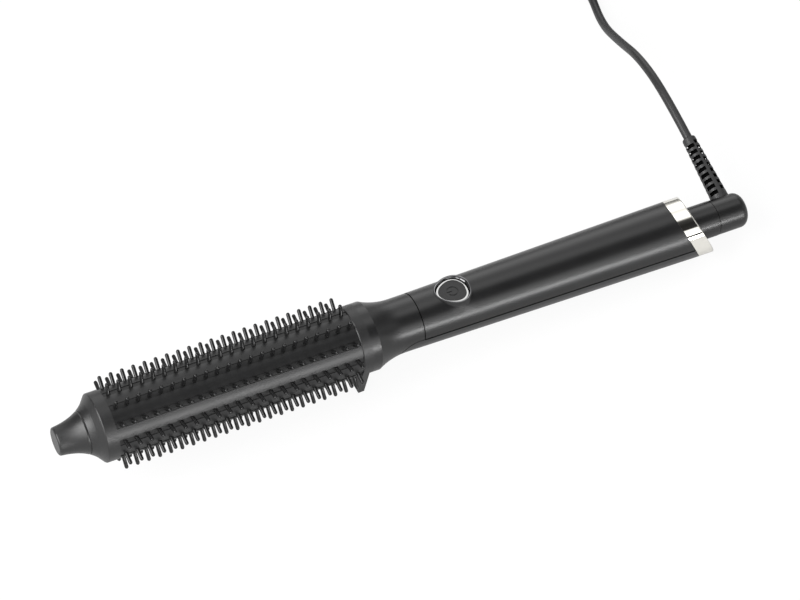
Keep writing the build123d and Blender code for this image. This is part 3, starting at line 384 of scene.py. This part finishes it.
def bristle_nylon(name, colour, strip_top):
    """Glossy heat-proof nylon that is duller on the strips that the bristles stand on, with painted shade
    that darkens the strips and the bristles' roots.
    """
    finish, tree, shader, place = new_finish(name)
    broad = cloud(tree, place, scale=350.0, detail=2.0)
    height = off_line(tree, place, on_brush(0), ALONG)[0]
    tint = tinted(tree, broad, colour, spread=0.25)
    # painted shade: the colour darkens towards the strips, where the bristles' roots stand in shade
    paint_shade(tree, shader, tint, height, 0.6, 1.0, start=strip_top + 0.0001, end=strip_top + 0.0022)
    dullness = between(tree, height, 0.44, 0.2, start=strip_top + 0.0002, end=strip_top + 0.0012)
    tree.links.new(dullness, shader.inputs["Roughness"])
    shader.inputs["Specular IOR Level"].default_value = 0.32
    return finish


def polished_metal(name, colour, roughness=0.05):
    """Plated metal with a very fine polish and faint wipe marks."""
    finish, tree, shader, place = new_finish(name)
    broad = cloud(tree, place, scale=120.0, detail=4.0)
    hair = cloud(tree, place, scale=1500.0, detail=2.0, stretch=(0.05, 1, 1))
    tree.links.new(tinted(tree, broad, colour, spread=0.03), shader.inputs["Base Color"])
    tree.links.new(between(tree, hair, roughness - 0.02, roughness + 0.03), shader.inputs["Roughness"])
    shader.inputs["Metallic"].default_value = 1.0
    grained(tree, shader, hair, depth=0.0000003)
    return finish


def flexible_jacket(name, colour, roughness=0.42):
    """Soft vinyl with a slight orange-peel skin."""
    finish, tree, shader, place = new_finish(name)
    broad = cloud(tree, place, scale=90.0, detail=3.0)
    skin = cloud(tree, place, scale=1400.0, detail=2.0)
    tree.links.new(tinted(tree, broad, colour, spread=0.12), shader.inputs["Base Color"])
    tree.links.new(between(tree, broad, roughness - 0.04, roughness + 0.04), shader.inputs["Roughness"])
    shader.inputs["Specular IOR Level"].default_value = 0.45
    grained(tree, shader, skin, depth=0.00002)
    return finish


def slotted_vinyl(name, colour, s):
    """Soft vinyl with painted shade that darkens it down in the slots of the tapered strain relief."""
    finish, tree, shader, place = new_finish(name)
    skin = cloud(tree, place, scale=1400.0, detail=2.0)
    way = Vector((0, math.cos(s.rise), 0)) + ABOVE * math.sin(s.rise)
    away, along = off_line(tree, place, on_brush(s.station), way)
    wall = between(tree, along, s.root_radius, s.end_radius, s.root_at, s.end_at)
    sunk = maths(tree, "SUBTRACT", wall, away)
    # painted shade: the colour darkens with depth in the slots
    paint_shade(tree, shader, tinted(tree, skin, colour, spread=0.12), sunk, 1.0, 0.1, s.shade_from, s.shade_to)
    # painted shade too: the slots' shine is dimmed with depth
    shine = between(tree, sunk, 0.45, 0.02, s.shade_from, s.shade_to)
    tree.links.new(shine, shader.inputs["Specular IOR Level"])
    dullness = between(tree, sunk, 0.45, 0.9, s.shade_from, s.shade_to)
    tree.links.new(dullness, shader.inputs["Roughness"])
    grained(tree, shader, skin, depth=0.00002)
    return finish


def fired_ceramic(name, colour):
    finish, tree, shader, place = new_finish(name)
    speck = cloud(tree, place, scale=700.0, detail=5.0)
    tree.links.new(tinted(tree, speck, colour, spread=0.06), shader.inputs["Base Color"])
    tree.links.new(between(tree, speck, 0.45, 0.6), shader.inputs["Roughness"])
    grained(tree, shader, speck, depth=0.00003)
    return finish


def drawn_metal(name, colour, roughness=0.35):
    """Turned or extruded metal with fine lines along it."""
    finish, tree, shader, place = new_finish(name)
    lines = cloud(tree, place, scale=1100.0, detail=3.0, stretch=(0.04, 1, 1))
    tree.links.new(tinted(tree, lines, colour, spread=0.08), shader.inputs["Base Color"])
    tree.links.new(between(tree, lines, roughness - 0.08, roughness + 0.08), shader.inputs["Roughness"])
    shader.inputs["Metallic"].default_value = 1.0
    grained(tree, shader, lines, depth=0.000006)
    return finish


def dress(node, finish):
    """Gives a CAD node a finish in place of its plain one."""
    mesh = NODES[node].data
    mesh.materials.clear()
    mesh.materials.append(finish)


def true_round(node):
    """Gives a piece's walls round the brush's axis exact normals, so that a polished one shows no facets."""
    nearly_outward = 0.99
    mesh = NODES[node].data
    normals = [corner.vector.copy() for corner in mesh.corner_normals]
    for corner, normal in enumerate(normals):
        place = mesh.vertices[mesh.loops[corner].vertex_index].co - on_brush(0)
        out = (place - ALONG * place.dot(ALONG)).normalized()
        if abs(normal.dot(out)) > nearly_outward:
            normals[corner] = out if normal.dot(out) > 0 else -out
    mesh.normals_split_custom_set(normals)


# Making

class BRUSH_OT_camera(bpy.types.Operator):
    """Stands the camera where the picture was taken from"""
    bl_idname = "styling_brush.camera"
    bl_label = "Camera"

    def execute(self, context):
        s = settings().camera
        data = bpy.data.cameras.new("picture_camera")
        data.sensor_width = 36.0
        data.lens = s.lens
        data.clip_start = 0.05
        data.clip_end = 20.0
        camera = bpy.data.objects.new("picture_camera", data)
        context.scene.collection.objects.link(camera)
        level = Vector((math.cos(s.azimuth), math.sin(s.azimuth), 0))
        forward = Vector((-math.sin(s.azimuth), math.cos(s.azimuth), 0))
        look = forward * math.cos(s.elevation) - Vector((0, 0, math.sin(s.elevation)))
        right = level * math.cos(s.roll) + level.cross(look) * math.sin(s.roll)
        up = right.cross(look)
        turn = Matrix((right, up, -look)).transposed()
        camera.matrix_world = Matrix.Translation(Vector(s.place)) @ turn.to_4x4()
        context.scene.camera = camera
        return {"FINISHED"}


def coil_route(s):
    """Points of the coil's turns: spirals in and out in layers, climbing half a turn where they reverse."""
    outer = s.inner_radius + s.pitch * s.turns
    entry = Vector(LEAD_ROUTE[-1])
    centre = entry + Vector((outer, s.diameter, 0))
    per_layer = 2 * math.pi * s.turns
    quarter = math.pi / 2
    rounding = 1e-9
    # the curve runs inside its points by this much, so they are set further out
    swell = 2 / (1 + math.cos(math.pi / s.per_turn))
    points = []
    for k in range(1, s.per_turn * s.turns * s.layers):
        angle = 2 * math.pi * k / s.per_turn
        layer = min(int(angle / per_layer + rounding), s.layers - 1)
        within = angle - layer * per_layer
        moved = s.pitch * within / (2 * math.pi)
        radius = outer - moved if layer % 2 == 0 else s.inner_radius + moved
        climb = float(layer)
        if layer < s.layers - 1 and per_layer - within < quarter:
            climb += (1 - math.cos(quarter - (per_layer - within))) / 2
        if layer > 0 and within < quarter:
            climb += (1 - math.cos(quarter + within)) / 2 - 1
        turn = math.pi - angle
        points.append(centre + Vector((math.cos(turn) * radius * swell, math.sin(turn) * radius * swell,
                                       climb * s.pitch)))
    return points


class BRUSH_OT_cord(bpy.types.Operator):
    """Lays the cord from the strain relief to the coil and the plug"""
    bl_idname = "styling_brush.cord"
    bl_label = "Cord"

    def execute(self, context):
        s = settings().cord
        route = [Vector(p) for p in LEAD_ROUTE] + coil_route(s) + [Vector(p) for p in TAIL_ROUTE]
        curve = bpy.data.curves.new("supply_cord", "CURVE")
        curve.dimensions = "3D"
        curve.bevel_depth = s.diameter / 2
        curve.bevel_resolution = 6
        curve.use_fill_caps = True
        spline = curve.splines.new("NURBS")
        spline.points.add(len(route) - 1)
        for point, place in zip(spline.points, route):
            point.co = (*place, 1)
        spline.order_u = 3
        spline.use_endpoint_u = True
        spline.resolution_u = 6
        cord = bpy.data.objects.new("supply_cord", curve)
        context.scene.collection.objects.link(cord)
        curve.materials.append(flexible_jacket("cord_jacket", settings().finish.cord))
        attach(cord, "swivel")
        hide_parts("cord_lead", "cord_coil", "cord_tail")
        return {"FINISHED"}


# Bristles

class Workshop:
    """Builds one geometry node tree, with short calls for its nodes."""

    def __init__(self, name):
        self.tree = bpy.data.node_groups.new(name, "GeometryNodeTree")
        self.tree.interface.new_socket("Geometry", in_out="OUTPUT", socket_type="NodeSocketGeometry")
        self.entry = self.tree.nodes.new("NodeGroupInput")
        self.exit = self.tree.nodes.new("NodeGroupOutput")
        self.given = []

    def size(self, name, value):
        """A size that the tree is given from outside."""
        kind = "NodeSocketInt" if isinstance(value, int) else "NodeSocketFloat"
        socket = self.tree.interface.new_socket(name, in_out="INPUT", socket_type=kind)
        socket.default_value = value
        self.given.append((socket.identifier, value))
        return next(o for o in self.entry.outputs if o.identifier == socket.identifier)

    def node(self, kind, values=(), **options):
        node = self.tree.nodes.new(kind)
        for name, value in options.items():
            setattr(node, name, value)
        for key, value in dict(values).items():
            feed(self.tree, node.inputs[key], value)
        return node

    def maths(self, operation, *values):
        return maths(self.tree, operation, *values)

    def triple(self, x=0.0, y=0.0, z=0.0):
        return self.node("ShaderNodeCombineXYZ", {"X": x, "Y": y, "Z": z}).outputs["Vector"]

    def here(self):
        """The X, Y and Z of the point that is being moved."""
        place = self.node("GeometryNodeInputPosition").outputs["Position"]
        return self.node("ShaderNodeSeparateXYZ", {"Vector": place}).outputs

    def finish(self, geometry, material):
        real = self.node("GeometryNodeRealizeInstances", {"Geometry": geometry}).outputs["Geometry"]
        paint = self.node("GeometryNodeSetMaterial", {"Geometry": real, "Material": material})
        self.tree.links.new(paint.outputs["Geometry"], self.exit.inputs[0])


def plain_mesh(name, workshop):
    """Runs a node tree on an empty mesh and keeps what it makes as a plain mesh."""
    holder = bpy.data.objects.new(name + "_maker", bpy.data.meshes.new(name + "_maker"))
    bpy.context.scene.collection.objects.link(holder)
    modifier = holder.modifiers.new("maker", "NODES")
    modifier.node_group = workshop.tree
    for identifier, value in workshop.given:
        modifier[identifier] = value
    bpy.context.view_layer.update()
    evaluated = holder.evaluated_get(bpy.context.evaluated_depsgraph_get())
    mesh = bpy.data.meshes.new_from_object(evaluated)
    mesh.name = name
    bpy.data.objects.remove(holder)
    piece = bpy.data.objects.new(name, mesh)
    bpy.context.scene.collection.objects.link(piece)
    return piece


def one_bristle(w, size):
    """A round-ended bristle with a wider foot, made from a unit cylinder."""
    # the cylinder's rings are moved, one to the foot, one to the top of the foot's collar, one to the
    # shoulder and the others over the round end
    rings = 5
    corners = 8
    collar_ring = 1 / rings
    shoulder_ring = 2 / rings
    cylinder = {"Vertices": corners, "Side Segments": rings, "Fill Segments": 1, "Radius": 1.0, "Depth": 2.0}
    shaft = w.node("GeometryNodeMeshCylinder", cylinder, fill_type="NGON")
    here = w.here()
    share = w.maths("MULTIPLY_ADD", here["Z"], 0.5, 0.5)
    bent = w.maths("MAXIMUM", w.maths("SUBTRACT", share, shoulder_ring), 0.0)
    turn = w.maths("MULTIPLY", bent, w.maths("DIVIDE", size["dome"], 1 - shoulder_ring))
    at_foot = w.maths("LESS_THAN", share, collar_ring / 2)
    spread = w.maths("MULTIPLY_ADD", at_foot, size["flare"], 1.0)
    wide = w.maths("MULTIPLY", w.maths("MULTIPLY", w.maths("COSINE", turn), size["radius"]), spread)
    shoulder = w.maths("SUBTRACT", size["tip"], size["radius"])
    rise = w.maths("MINIMUM", w.maths("MULTIPLY", w.maths("SUBTRACT", share, collar_ring), rings), 1.0)
    low = w.maths("ADD", size["strip_top"], size["collar"])
    run_up = w.maths("SUBTRACT", shoulder, low)
    shaft_height = w.maths("MULTIPLY_ADD", w.maths("MAXIMUM", rise, 0.0), run_up, low)
    sunk = w.maths("MULTIPLY", at_foot, w.maths("SUBTRACT", low, size["root"]))
    rounded = w.maths("MULTIPLY_ADD", w.maths("SINE", turn), size["radius"], shaft_height)
    height = w.maths("SUBTRACT", rounded, sunk)
    place = w.triple(w.maths("MULTIPLY", here["X"], wide), w.maths("MULTIPLY", here["Y"], wide), height)
    moved = w.node("GeometryNodeSetPosition", {"Geometry": shaft.outputs["Mesh"], "Position": place})
    smooth = w.node("GeometryNodeSetShadeSmooth", {"Geometry": moved.outputs["Geometry"]})
    return smooth.outputs["Geometry"]


def bristle_line(w, size, middle):
    """A row of bristles, centred on its strip."""
    run = w.maths("MULTIPLY", w.maths("SUBTRACT", size["per_row"], 1), size["pitch"])
    opening = w.maths("MULTIPLY_ADD", run, -0.5, middle)
    line = w.node("GeometryNodeMeshLine", {"Count": size["per_row"], "Start Location": w.triple(opening),
                                           "Offset": w.triple(size["pitch"])}, mode="OFFSET")
    row = w.node("GeometryNodeInstanceOnPoints",
                 {"Points": line.outputs["Mesh"], "Instance": one_bristle(w, size)})
    return row.outputs["Instances"]


def one_strip(w, size, middle):
    """The strip under a row, with a slightly crowned face."""
    length = w.maths("SUBTRACT", size["barrel_end"], size["barrel_start"])
    depth = w.maths("SUBTRACT", size["strip_top"], size["strip_foot"])
    bar = w.node("GeometryNodeMeshCube", {"Size": w.triple(length, size["strip_width"], depth),
                                          "Vertices X": 2, "Vertices Y": 5, "Vertices Z": 2})
    here = w.here()
    across = w.maths("DIVIDE", here["Y"], w.maths("MULTIPLY", size["strip_width"], 0.5))
    drop = w.maths("MULTIPLY", size["strip_crown"], -1.0)
    dip = w.maths("MULTIPLY", w.maths("MULTIPLY", across, across), drop)
    upper = w.maths("GREATER_THAN", here["Z"], 0.0)
    sink = w.triple(0.0, 0.0, w.maths("MULTIPLY", dip, upper))
    crowned = w.node("GeometryNodeSetPosition", {"Geometry": bar.outputs["Mesh"], "Offset": sink})
    halfway = w.maths("MULTIPLY", w.maths("ADD", size["strip_top"], size["strip_foot"]), 0.5)
    lifted = w.node("GeometryNodeTransform",
                    {"Geometry": crowned.outputs["Geometry"], "Translation": w.triple(middle, 0.0, halfway)})
    return lifted.outputs["Geometry"]


def round_barrel(w, size, pieces):
    """Sets copies of one row's pieces round the brush's axis."""
    both = w.node("GeometryNodeJoinGeometry")
    for piece in pieces:
        w.tree.links.new(piece, both.inputs[0])
    ring = w.node("GeometryNodeMeshLine", {"Count": size["rows"], "Offset": (0, 0, 0)}, mode="OFFSET")
    index = w.node("GeometryNodeInputIndex").outputs["Index"]
    step = w.maths("DIVIDE", 2 * math.pi, size["rows"])
    turns = w.triple(w.maths("MULTIPLY_ADD", index, step, size["first_row"]))
    lump = w.node("GeometryNodeGeometryToInstance", {"Geometry": both.outputs[0]})
    copies = w.node("GeometryNodeInstanceOnPoints",
                    {"Points": ring.outputs["Mesh"], "Instance": lump.outputs[0], "Rotation": turns})
    laid = w.node("GeometryNodeTransform",
                  {"Geometry": copies.outputs["Instances"], "Translation": tuple(on_brush(0)),
                   "Rotation": (0, -math.asin(ALONG.z), 0)})
    return laid.outputs["Geometry"]


def bristle_tree(s, finish):
    """Round-ended bristles on their strips, in rows round the barrel."""
    w = Workshop("bristle_rows")
    size = {name: w.size(name, getattr(s, name)) for name in BristleSettings.__annotations__}
    middle = w.maths("MULTIPLY", w.maths("ADD", size["barrel_start"], size["barrel_end"]), 0.5)
    pieces = (bristle_line(w, size, middle), one_strip(w, size, middle))
    w.finish(round_barrel(w, size, pieces), finish)
    return w


class BRUSH_OT_bristles(bpy.types.Operator):
    """Sets the rows of bristles on their strips"""
    bl_idname = "styling_brush.bristles"
    bl_label = "Bristles"

    def execute(self, context):
        s = settings().bristles
        finish = bristle_nylon("bristle_nylon", settings().finish.bristle, s.strip_top)
        piece = plain_mesh("bristle_rows", bristle_tree(s, finish))
        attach(piece, "brush")
        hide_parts(*[f"bristle_strip_{k + 1:02d}" for k in range(12)])
        return {"FINISHED"}


class BRUSH_OT_barrel(bpy.types.Operator):
    """Finishes the tip, the collars, the barrel and the neck"""
    bl_idname = "styling_brush.barrel"
    bl_label = "Barrel and tip"

    def execute(self, context):
        f = settings().finish
        tip = satin_moulding("cool_tip_moulding", f.tip, roughness=0.40, grain=0.00003, grain_scale=3200.0)
        for node in ("nose_cap", "front_collar", "rear_collar"):
            dress(node, tip)
        dress("neck_sleeve", satin_moulding("neck_moulding", f.casing, roughness=0.30))
        dress("heater_barrel", barrel_coat("barrel_coat", f.barrel))
        return {"FINISHED"}


class BRUSH_OT_handle(bpy.types.Operator):
    """Finishes the handle's casings, its button and its trim"""
    bl_idname = "styling_brush.handle"
    bl_label = "Handle and button"

    def execute(self, context):
        f = settings().finish
        casing = satin_moulding("casing_moulding", f.casing, roughness=0.30)
        for node in ("upper_casing", "lower_casing"):
            dress(node, casing)
        dress("power_button", satin_moulding("button_moulding", f.tip, roughness=0.42))
        dress("button_bezel", polished_metal("dark_plating", f.bezel))
        dress("button_ring", polished_metal("bright_plating", f.ring, roughness=0.09))
        dress("end_band", polished_metal("band_plating", f.band))
        true_round("end_band")
        return {"FINISHED"}


class BRUSH_OT_swivel(bpy.types.Operator):
    """Finishes the swivel, the strain relief, the tie and the plug"""
    bl_idname = "styling_brush.swivel"
    bl_label = "Swivel and plug"

    def execute(self, context):
        f = settings().finish
        moulding = satin_moulding("swivel_moulding", f.casing, roughness=0.30)
        for node in ("swivel_socket", "swivel_elbow"):
            dress(node, moulding)
        dress("strain_relief", slotted_vinyl("relief_vinyl", f.cord, settings().relief))
        dress("plug_body", flexible_jacket("plug_vinyl", f.cord, roughness=0.40))
        dress("cord_tie", flexible_jacket("tie_vinyl", f.cord, roughness=0.5))
        dress("plug_pins", drawn_metal("pin_nickel", (0.72, 0.68, 0.58), roughness=0.25))
        return {"FINISHED"}


class BRUSH_OT_inside(bpy.types.Operator):
    """Finishes the heater, the board and the leads inside"""
    bl_idname = "styling_brush.inside"
    bl_label = "Inside"

    def execute(self, context):
        steel = drawn_metal("screw_steel", (0.56, 0.57, 0.58))
        for node in ("nose_screw", "collar_screws", "casing_screws", "swivel_spindle", "retaining_clip"):
            dress(node, steel)
        brass = drawn_metal("contact_brass", (0.76, 0.58, 0.28), roughness=0.3)
        for node in ("contact_rings", "slip_contacts"):
            dress(node, brass)
        aluminium = drawn_metal("spreader_aluminium", (0.75, 0.75, 0.76), roughness=0.4)
        for node in ("heat_spreader_upper", "heat_spreader_lower"):
            dress(node, aluminium)
        dress("heating_plate", fired_ceramic("heater_ceramic", (0.8, 0.79, 0.74)))
        insulator = satin_moulding("insulator_moulding", (0.72, 0.69, 0.6), roughness=0.6)
        for node in ("front_insulator", "rear_insulator", "temperature_sensor", "switch_plunger"):
            dress(node, insulator)
        dress("insulating_film", satin_moulding("film_polyimide", (0.65, 0.33, 0.05), roughness=0.25))
        dress("control_board", satin_moulding("board_resist", (0.02, 0.16, 0.06), roughness=0.3, spread=0.3))
        black = satin_moulding("component_moulding", (0.03, 0.03, 0.032), roughness=0.5)
        for node in ("tact_switch", "controller_chip", "power_switch", "thermal_cutout", "contact_block"):
            dress(node, black)
        dress("smoothing_capacitor", satin_moulding("capacitor_sleeve", (0.02, 0.05, 0.28), roughness=0.3))
        dress("terminal_block", satin_moulding("terminal_moulding", (0.75, 0.75, 0.72), roughness=0.45))
        dress("status_lamp", satin_moulding("lamp_lens", (0.7, 0.06, 0.03), roughness=0.15))
        dress("heater_leads", flexible_jacket("silicone_white", (0.75, 0.75, 0.72), roughness=0.5))
        dress("supply_leads", flexible_jacket("lead_red", (0.45, 0.03, 0.02), roughness=0.45))
        return {"FINISHED"}


# Studio

def area_lamp(name, place, target, size, power):
    data = bpy.data.lights.new(name, "AREA")
    data.shape = "RECTANGLE"
    data.size, data.size_y = size
    data.energy = power
    lamp = bpy.data.objects.new(name, data)
    bpy.context.scene.collection.objects.link(lamp)
    facing = (Vector(target) - Vector(place)).to_track_quat("-Z", "Y").to_matrix().to_4x4()
    lamp.matrix_world = Matrix.Translation(Vector(place)) @ facing


def floor_finish(s):
    """A matt white, part of it its own light, so that the floor looks white and keeps its shadow."""
    finish = bpy.data.materials.new("pale_floor")
    finish.use_nodes = True
    tree = finish.node_tree
    tree.nodes.clear()
    out = tree.nodes.new("ShaderNodeOutputMaterial")
    matt = tree.nodes.new("ShaderNodeBsdfDiffuse")
    matt.inputs["Color"].default_value = (*[s.floor_white] * 3, 1)
    glow = tree.nodes.new("ShaderNodeEmission")
    glow.inputs["Strength"].default_value = s.floor_level
    mix = tree.nodes.new("ShaderNodeMixShader")
    path = tree.nodes.new("ShaderNodeLightPath")
    share = 0.0
    for kind, glow_share in (("Is Camera Ray", s.floor_glow), ("Is Transmission Ray", s.floor_glow),
                             ("Is Glossy Ray", s.floor_mirrored)):
        share = maths(tree, "MAXIMUM", share, maths(tree, "MULTIPLY", path.outputs[kind], glow_share))
    tree.links.new(share, mix.inputs["Fac"])
    tree.links.new(matt.outputs[0], mix.inputs[1])
    tree.links.new(glow.outputs[0], mix.inputs[2])
    tree.links.new(mix.outputs[0], out.inputs["Surface"])
    return finish


def lay_floor(s):
    half = s.floor_size / 2
    mesh = bpy.data.meshes.new("pale_floor")
    corners = [(-half, -half, 0), (half, -half, 0), (half, half, 0), (-half, half, 0)]
    mesh.from_pydata(corners, [], [(0, 1, 2, 3)])
    mesh.materials.append(floor_finish(s))
    floor = bpy.data.objects.new("pale_floor", mesh)
    bpy.context.scene.collection.objects.link(floor)


def angle_ramp(tree, turn_share, steps, brightest):
    """The light over a turn round the brush, from steps of an angle and a strength."""
    ramp = tree.nodes.new("ShaderNodeValToRGB")
    stops = ramp.color_ramp.elements
    for angle, strength in steps:
        at_end = abs(angle) == 180
        stop = stops[0 if angle < 0 else -1] if at_end else stops.new(0.5 + angle / 360)
        stop.color = (*[strength / brightest] * 3, 1)
    tree.links.new(turn_share, ramp.inputs["Fac"])
    return ramp.outputs["Color"]


def hang_sky(s):
    """Bands of soft light round the brush, which change beyond its nose and beyond its tail."""
    world = bpy.data.worlds.new("studio")
    bpy.context.scene.world = world
    world.use_nodes = True
    tree = world.node_tree
    tree.nodes.clear()
    out = tree.nodes.new("ShaderNodeOutputWorld")
    light = tree.nodes.new("ShaderNodeBackground")
    way = tree.nodes.new("ShaderNodeTexCoord")
    parts = tree.nodes.new("ShaderNodeSeparateXYZ")
    tree.links.new(way.outputs["Generated"], parts.inputs[0])
    near = maths(tree, "MULTIPLY", parts.outputs["Y"], -1.0)
    turn = maths(tree, "ARCTAN2", parts.outputs["Z"], near)
    turn_share = between(tree, turn, 0.0, 1.0, start=-math.pi, end=math.pi)
    brightest = max(strength for angle, strength in SKY)
    seen = angle_ramp(tree, turn_share, SKY, brightest)
    for steps, span in ((NOSE_SKY, NOSE_SHARE), (TAIL_SKY, TAIL_SHARE)):
        beyond = angle_ramp(tree, turn_share, steps, brightest)
        share = between(tree, parts.outputs["X"], 0.0, 1.0, *span, smooth=True)
        seen = mixed(tree, seen, beyond, share)
    light.inputs["Strength"].default_value = s.sky * brightest
    tree.links.new(seen, light.inputs["Color"])
    tree.links.new(light.outputs[0], out.inputs["Surface"])


class BRUSH_OT_stage(bpy.types.Operator):
    """Lays a pale floor, and hangs the studio's light and two soft lamps"""
    bl_idname = "styling_brush.stage"
    bl_label = "Stage"

    def execute(self, context):
        s = settings().stage
        lay_floor(s)
        hang_sky(s)
        area_lamp("side_lamp", s.side_place, s.aim, s.side_size, s.side)
        area_lamp("fill_lamp", s.fill_place, s.aim, s.fill_size, s.fill)
        return {"FINISHED"}


class BRUSH_PT_panel(bpy.types.Panel):
    """Lists the steps that dress the brush"""
    bl_idname = "BRUSH_PT_panel"
    bl_label = "Styling Brush"
    bl_space_type = "VIEW_3D"
    bl_region_type = "UI"
    bl_category = "Styling Brush"

    def draw(self, context):
        for step in STEPS:
            self.layout.operator(step.bl_idname)


class BrushSettings(bpy.types.PropertyGroup):
    camera: PointerProperty(type=CameraSettings, name="Camera", description="Where the picture is taken from")
    cord: PointerProperty(type=CordSettings, name="Cord", description="Sizes of the cord and its coil")
    bristles: PointerProperty(type=BristleSettings, name="Bristles",
                              description="Sizes of the bristles and of their strips")
    relief: PointerProperty(type=ReliefSettings, name="Strain relief",
                            description="Where the slotted strain relief tapers, and how its slots darken")
    finish: PointerProperty(type=FinishSettings, name="Finish", description="Colours of the pieces in view")
    stage: PointerProperty(type=StageSettings, name="Stage", description="Floor, lamps and studio light")


STEPS = (
    BRUSH_OT_camera,
    BRUSH_OT_cord,
    BRUSH_OT_bristles,
    BRUSH_OT_barrel,
    BRUSH_OT_handle,
    BRUSH_OT_swivel,
    BRUSH_OT_inside,
    BRUSH_OT_stage,
)
CLASSES = (CameraSettings, CordSettings, BristleSettings, ReliefSettings, FinishSettings, StageSettings,
           BrushSettings, *STEPS, BRUSH_PT_panel)


def register():
    for cls in CLASSES:
        bpy.utils.register_class(cls)
    bpy.types.Scene.styling_brush = PointerProperty(type=BrushSettings)


def unregister():
    del bpy.types.Scene.styling_brush
    for cls in reversed(CLASSES):
        bpy.utils.unregister_class(cls)


def main():
    register()
    bpy.context.scene.view_settings.view_transform = "Standard"
    ops = bpy.ops.styling_brush
    ops.camera()
    ops.cord()
    ops.bristles()
    ops.barrel()
    ops.handle()
    ops.swivel()
    ops.inside()
    ops.stage()


if __name__ == "__main__":
    main()
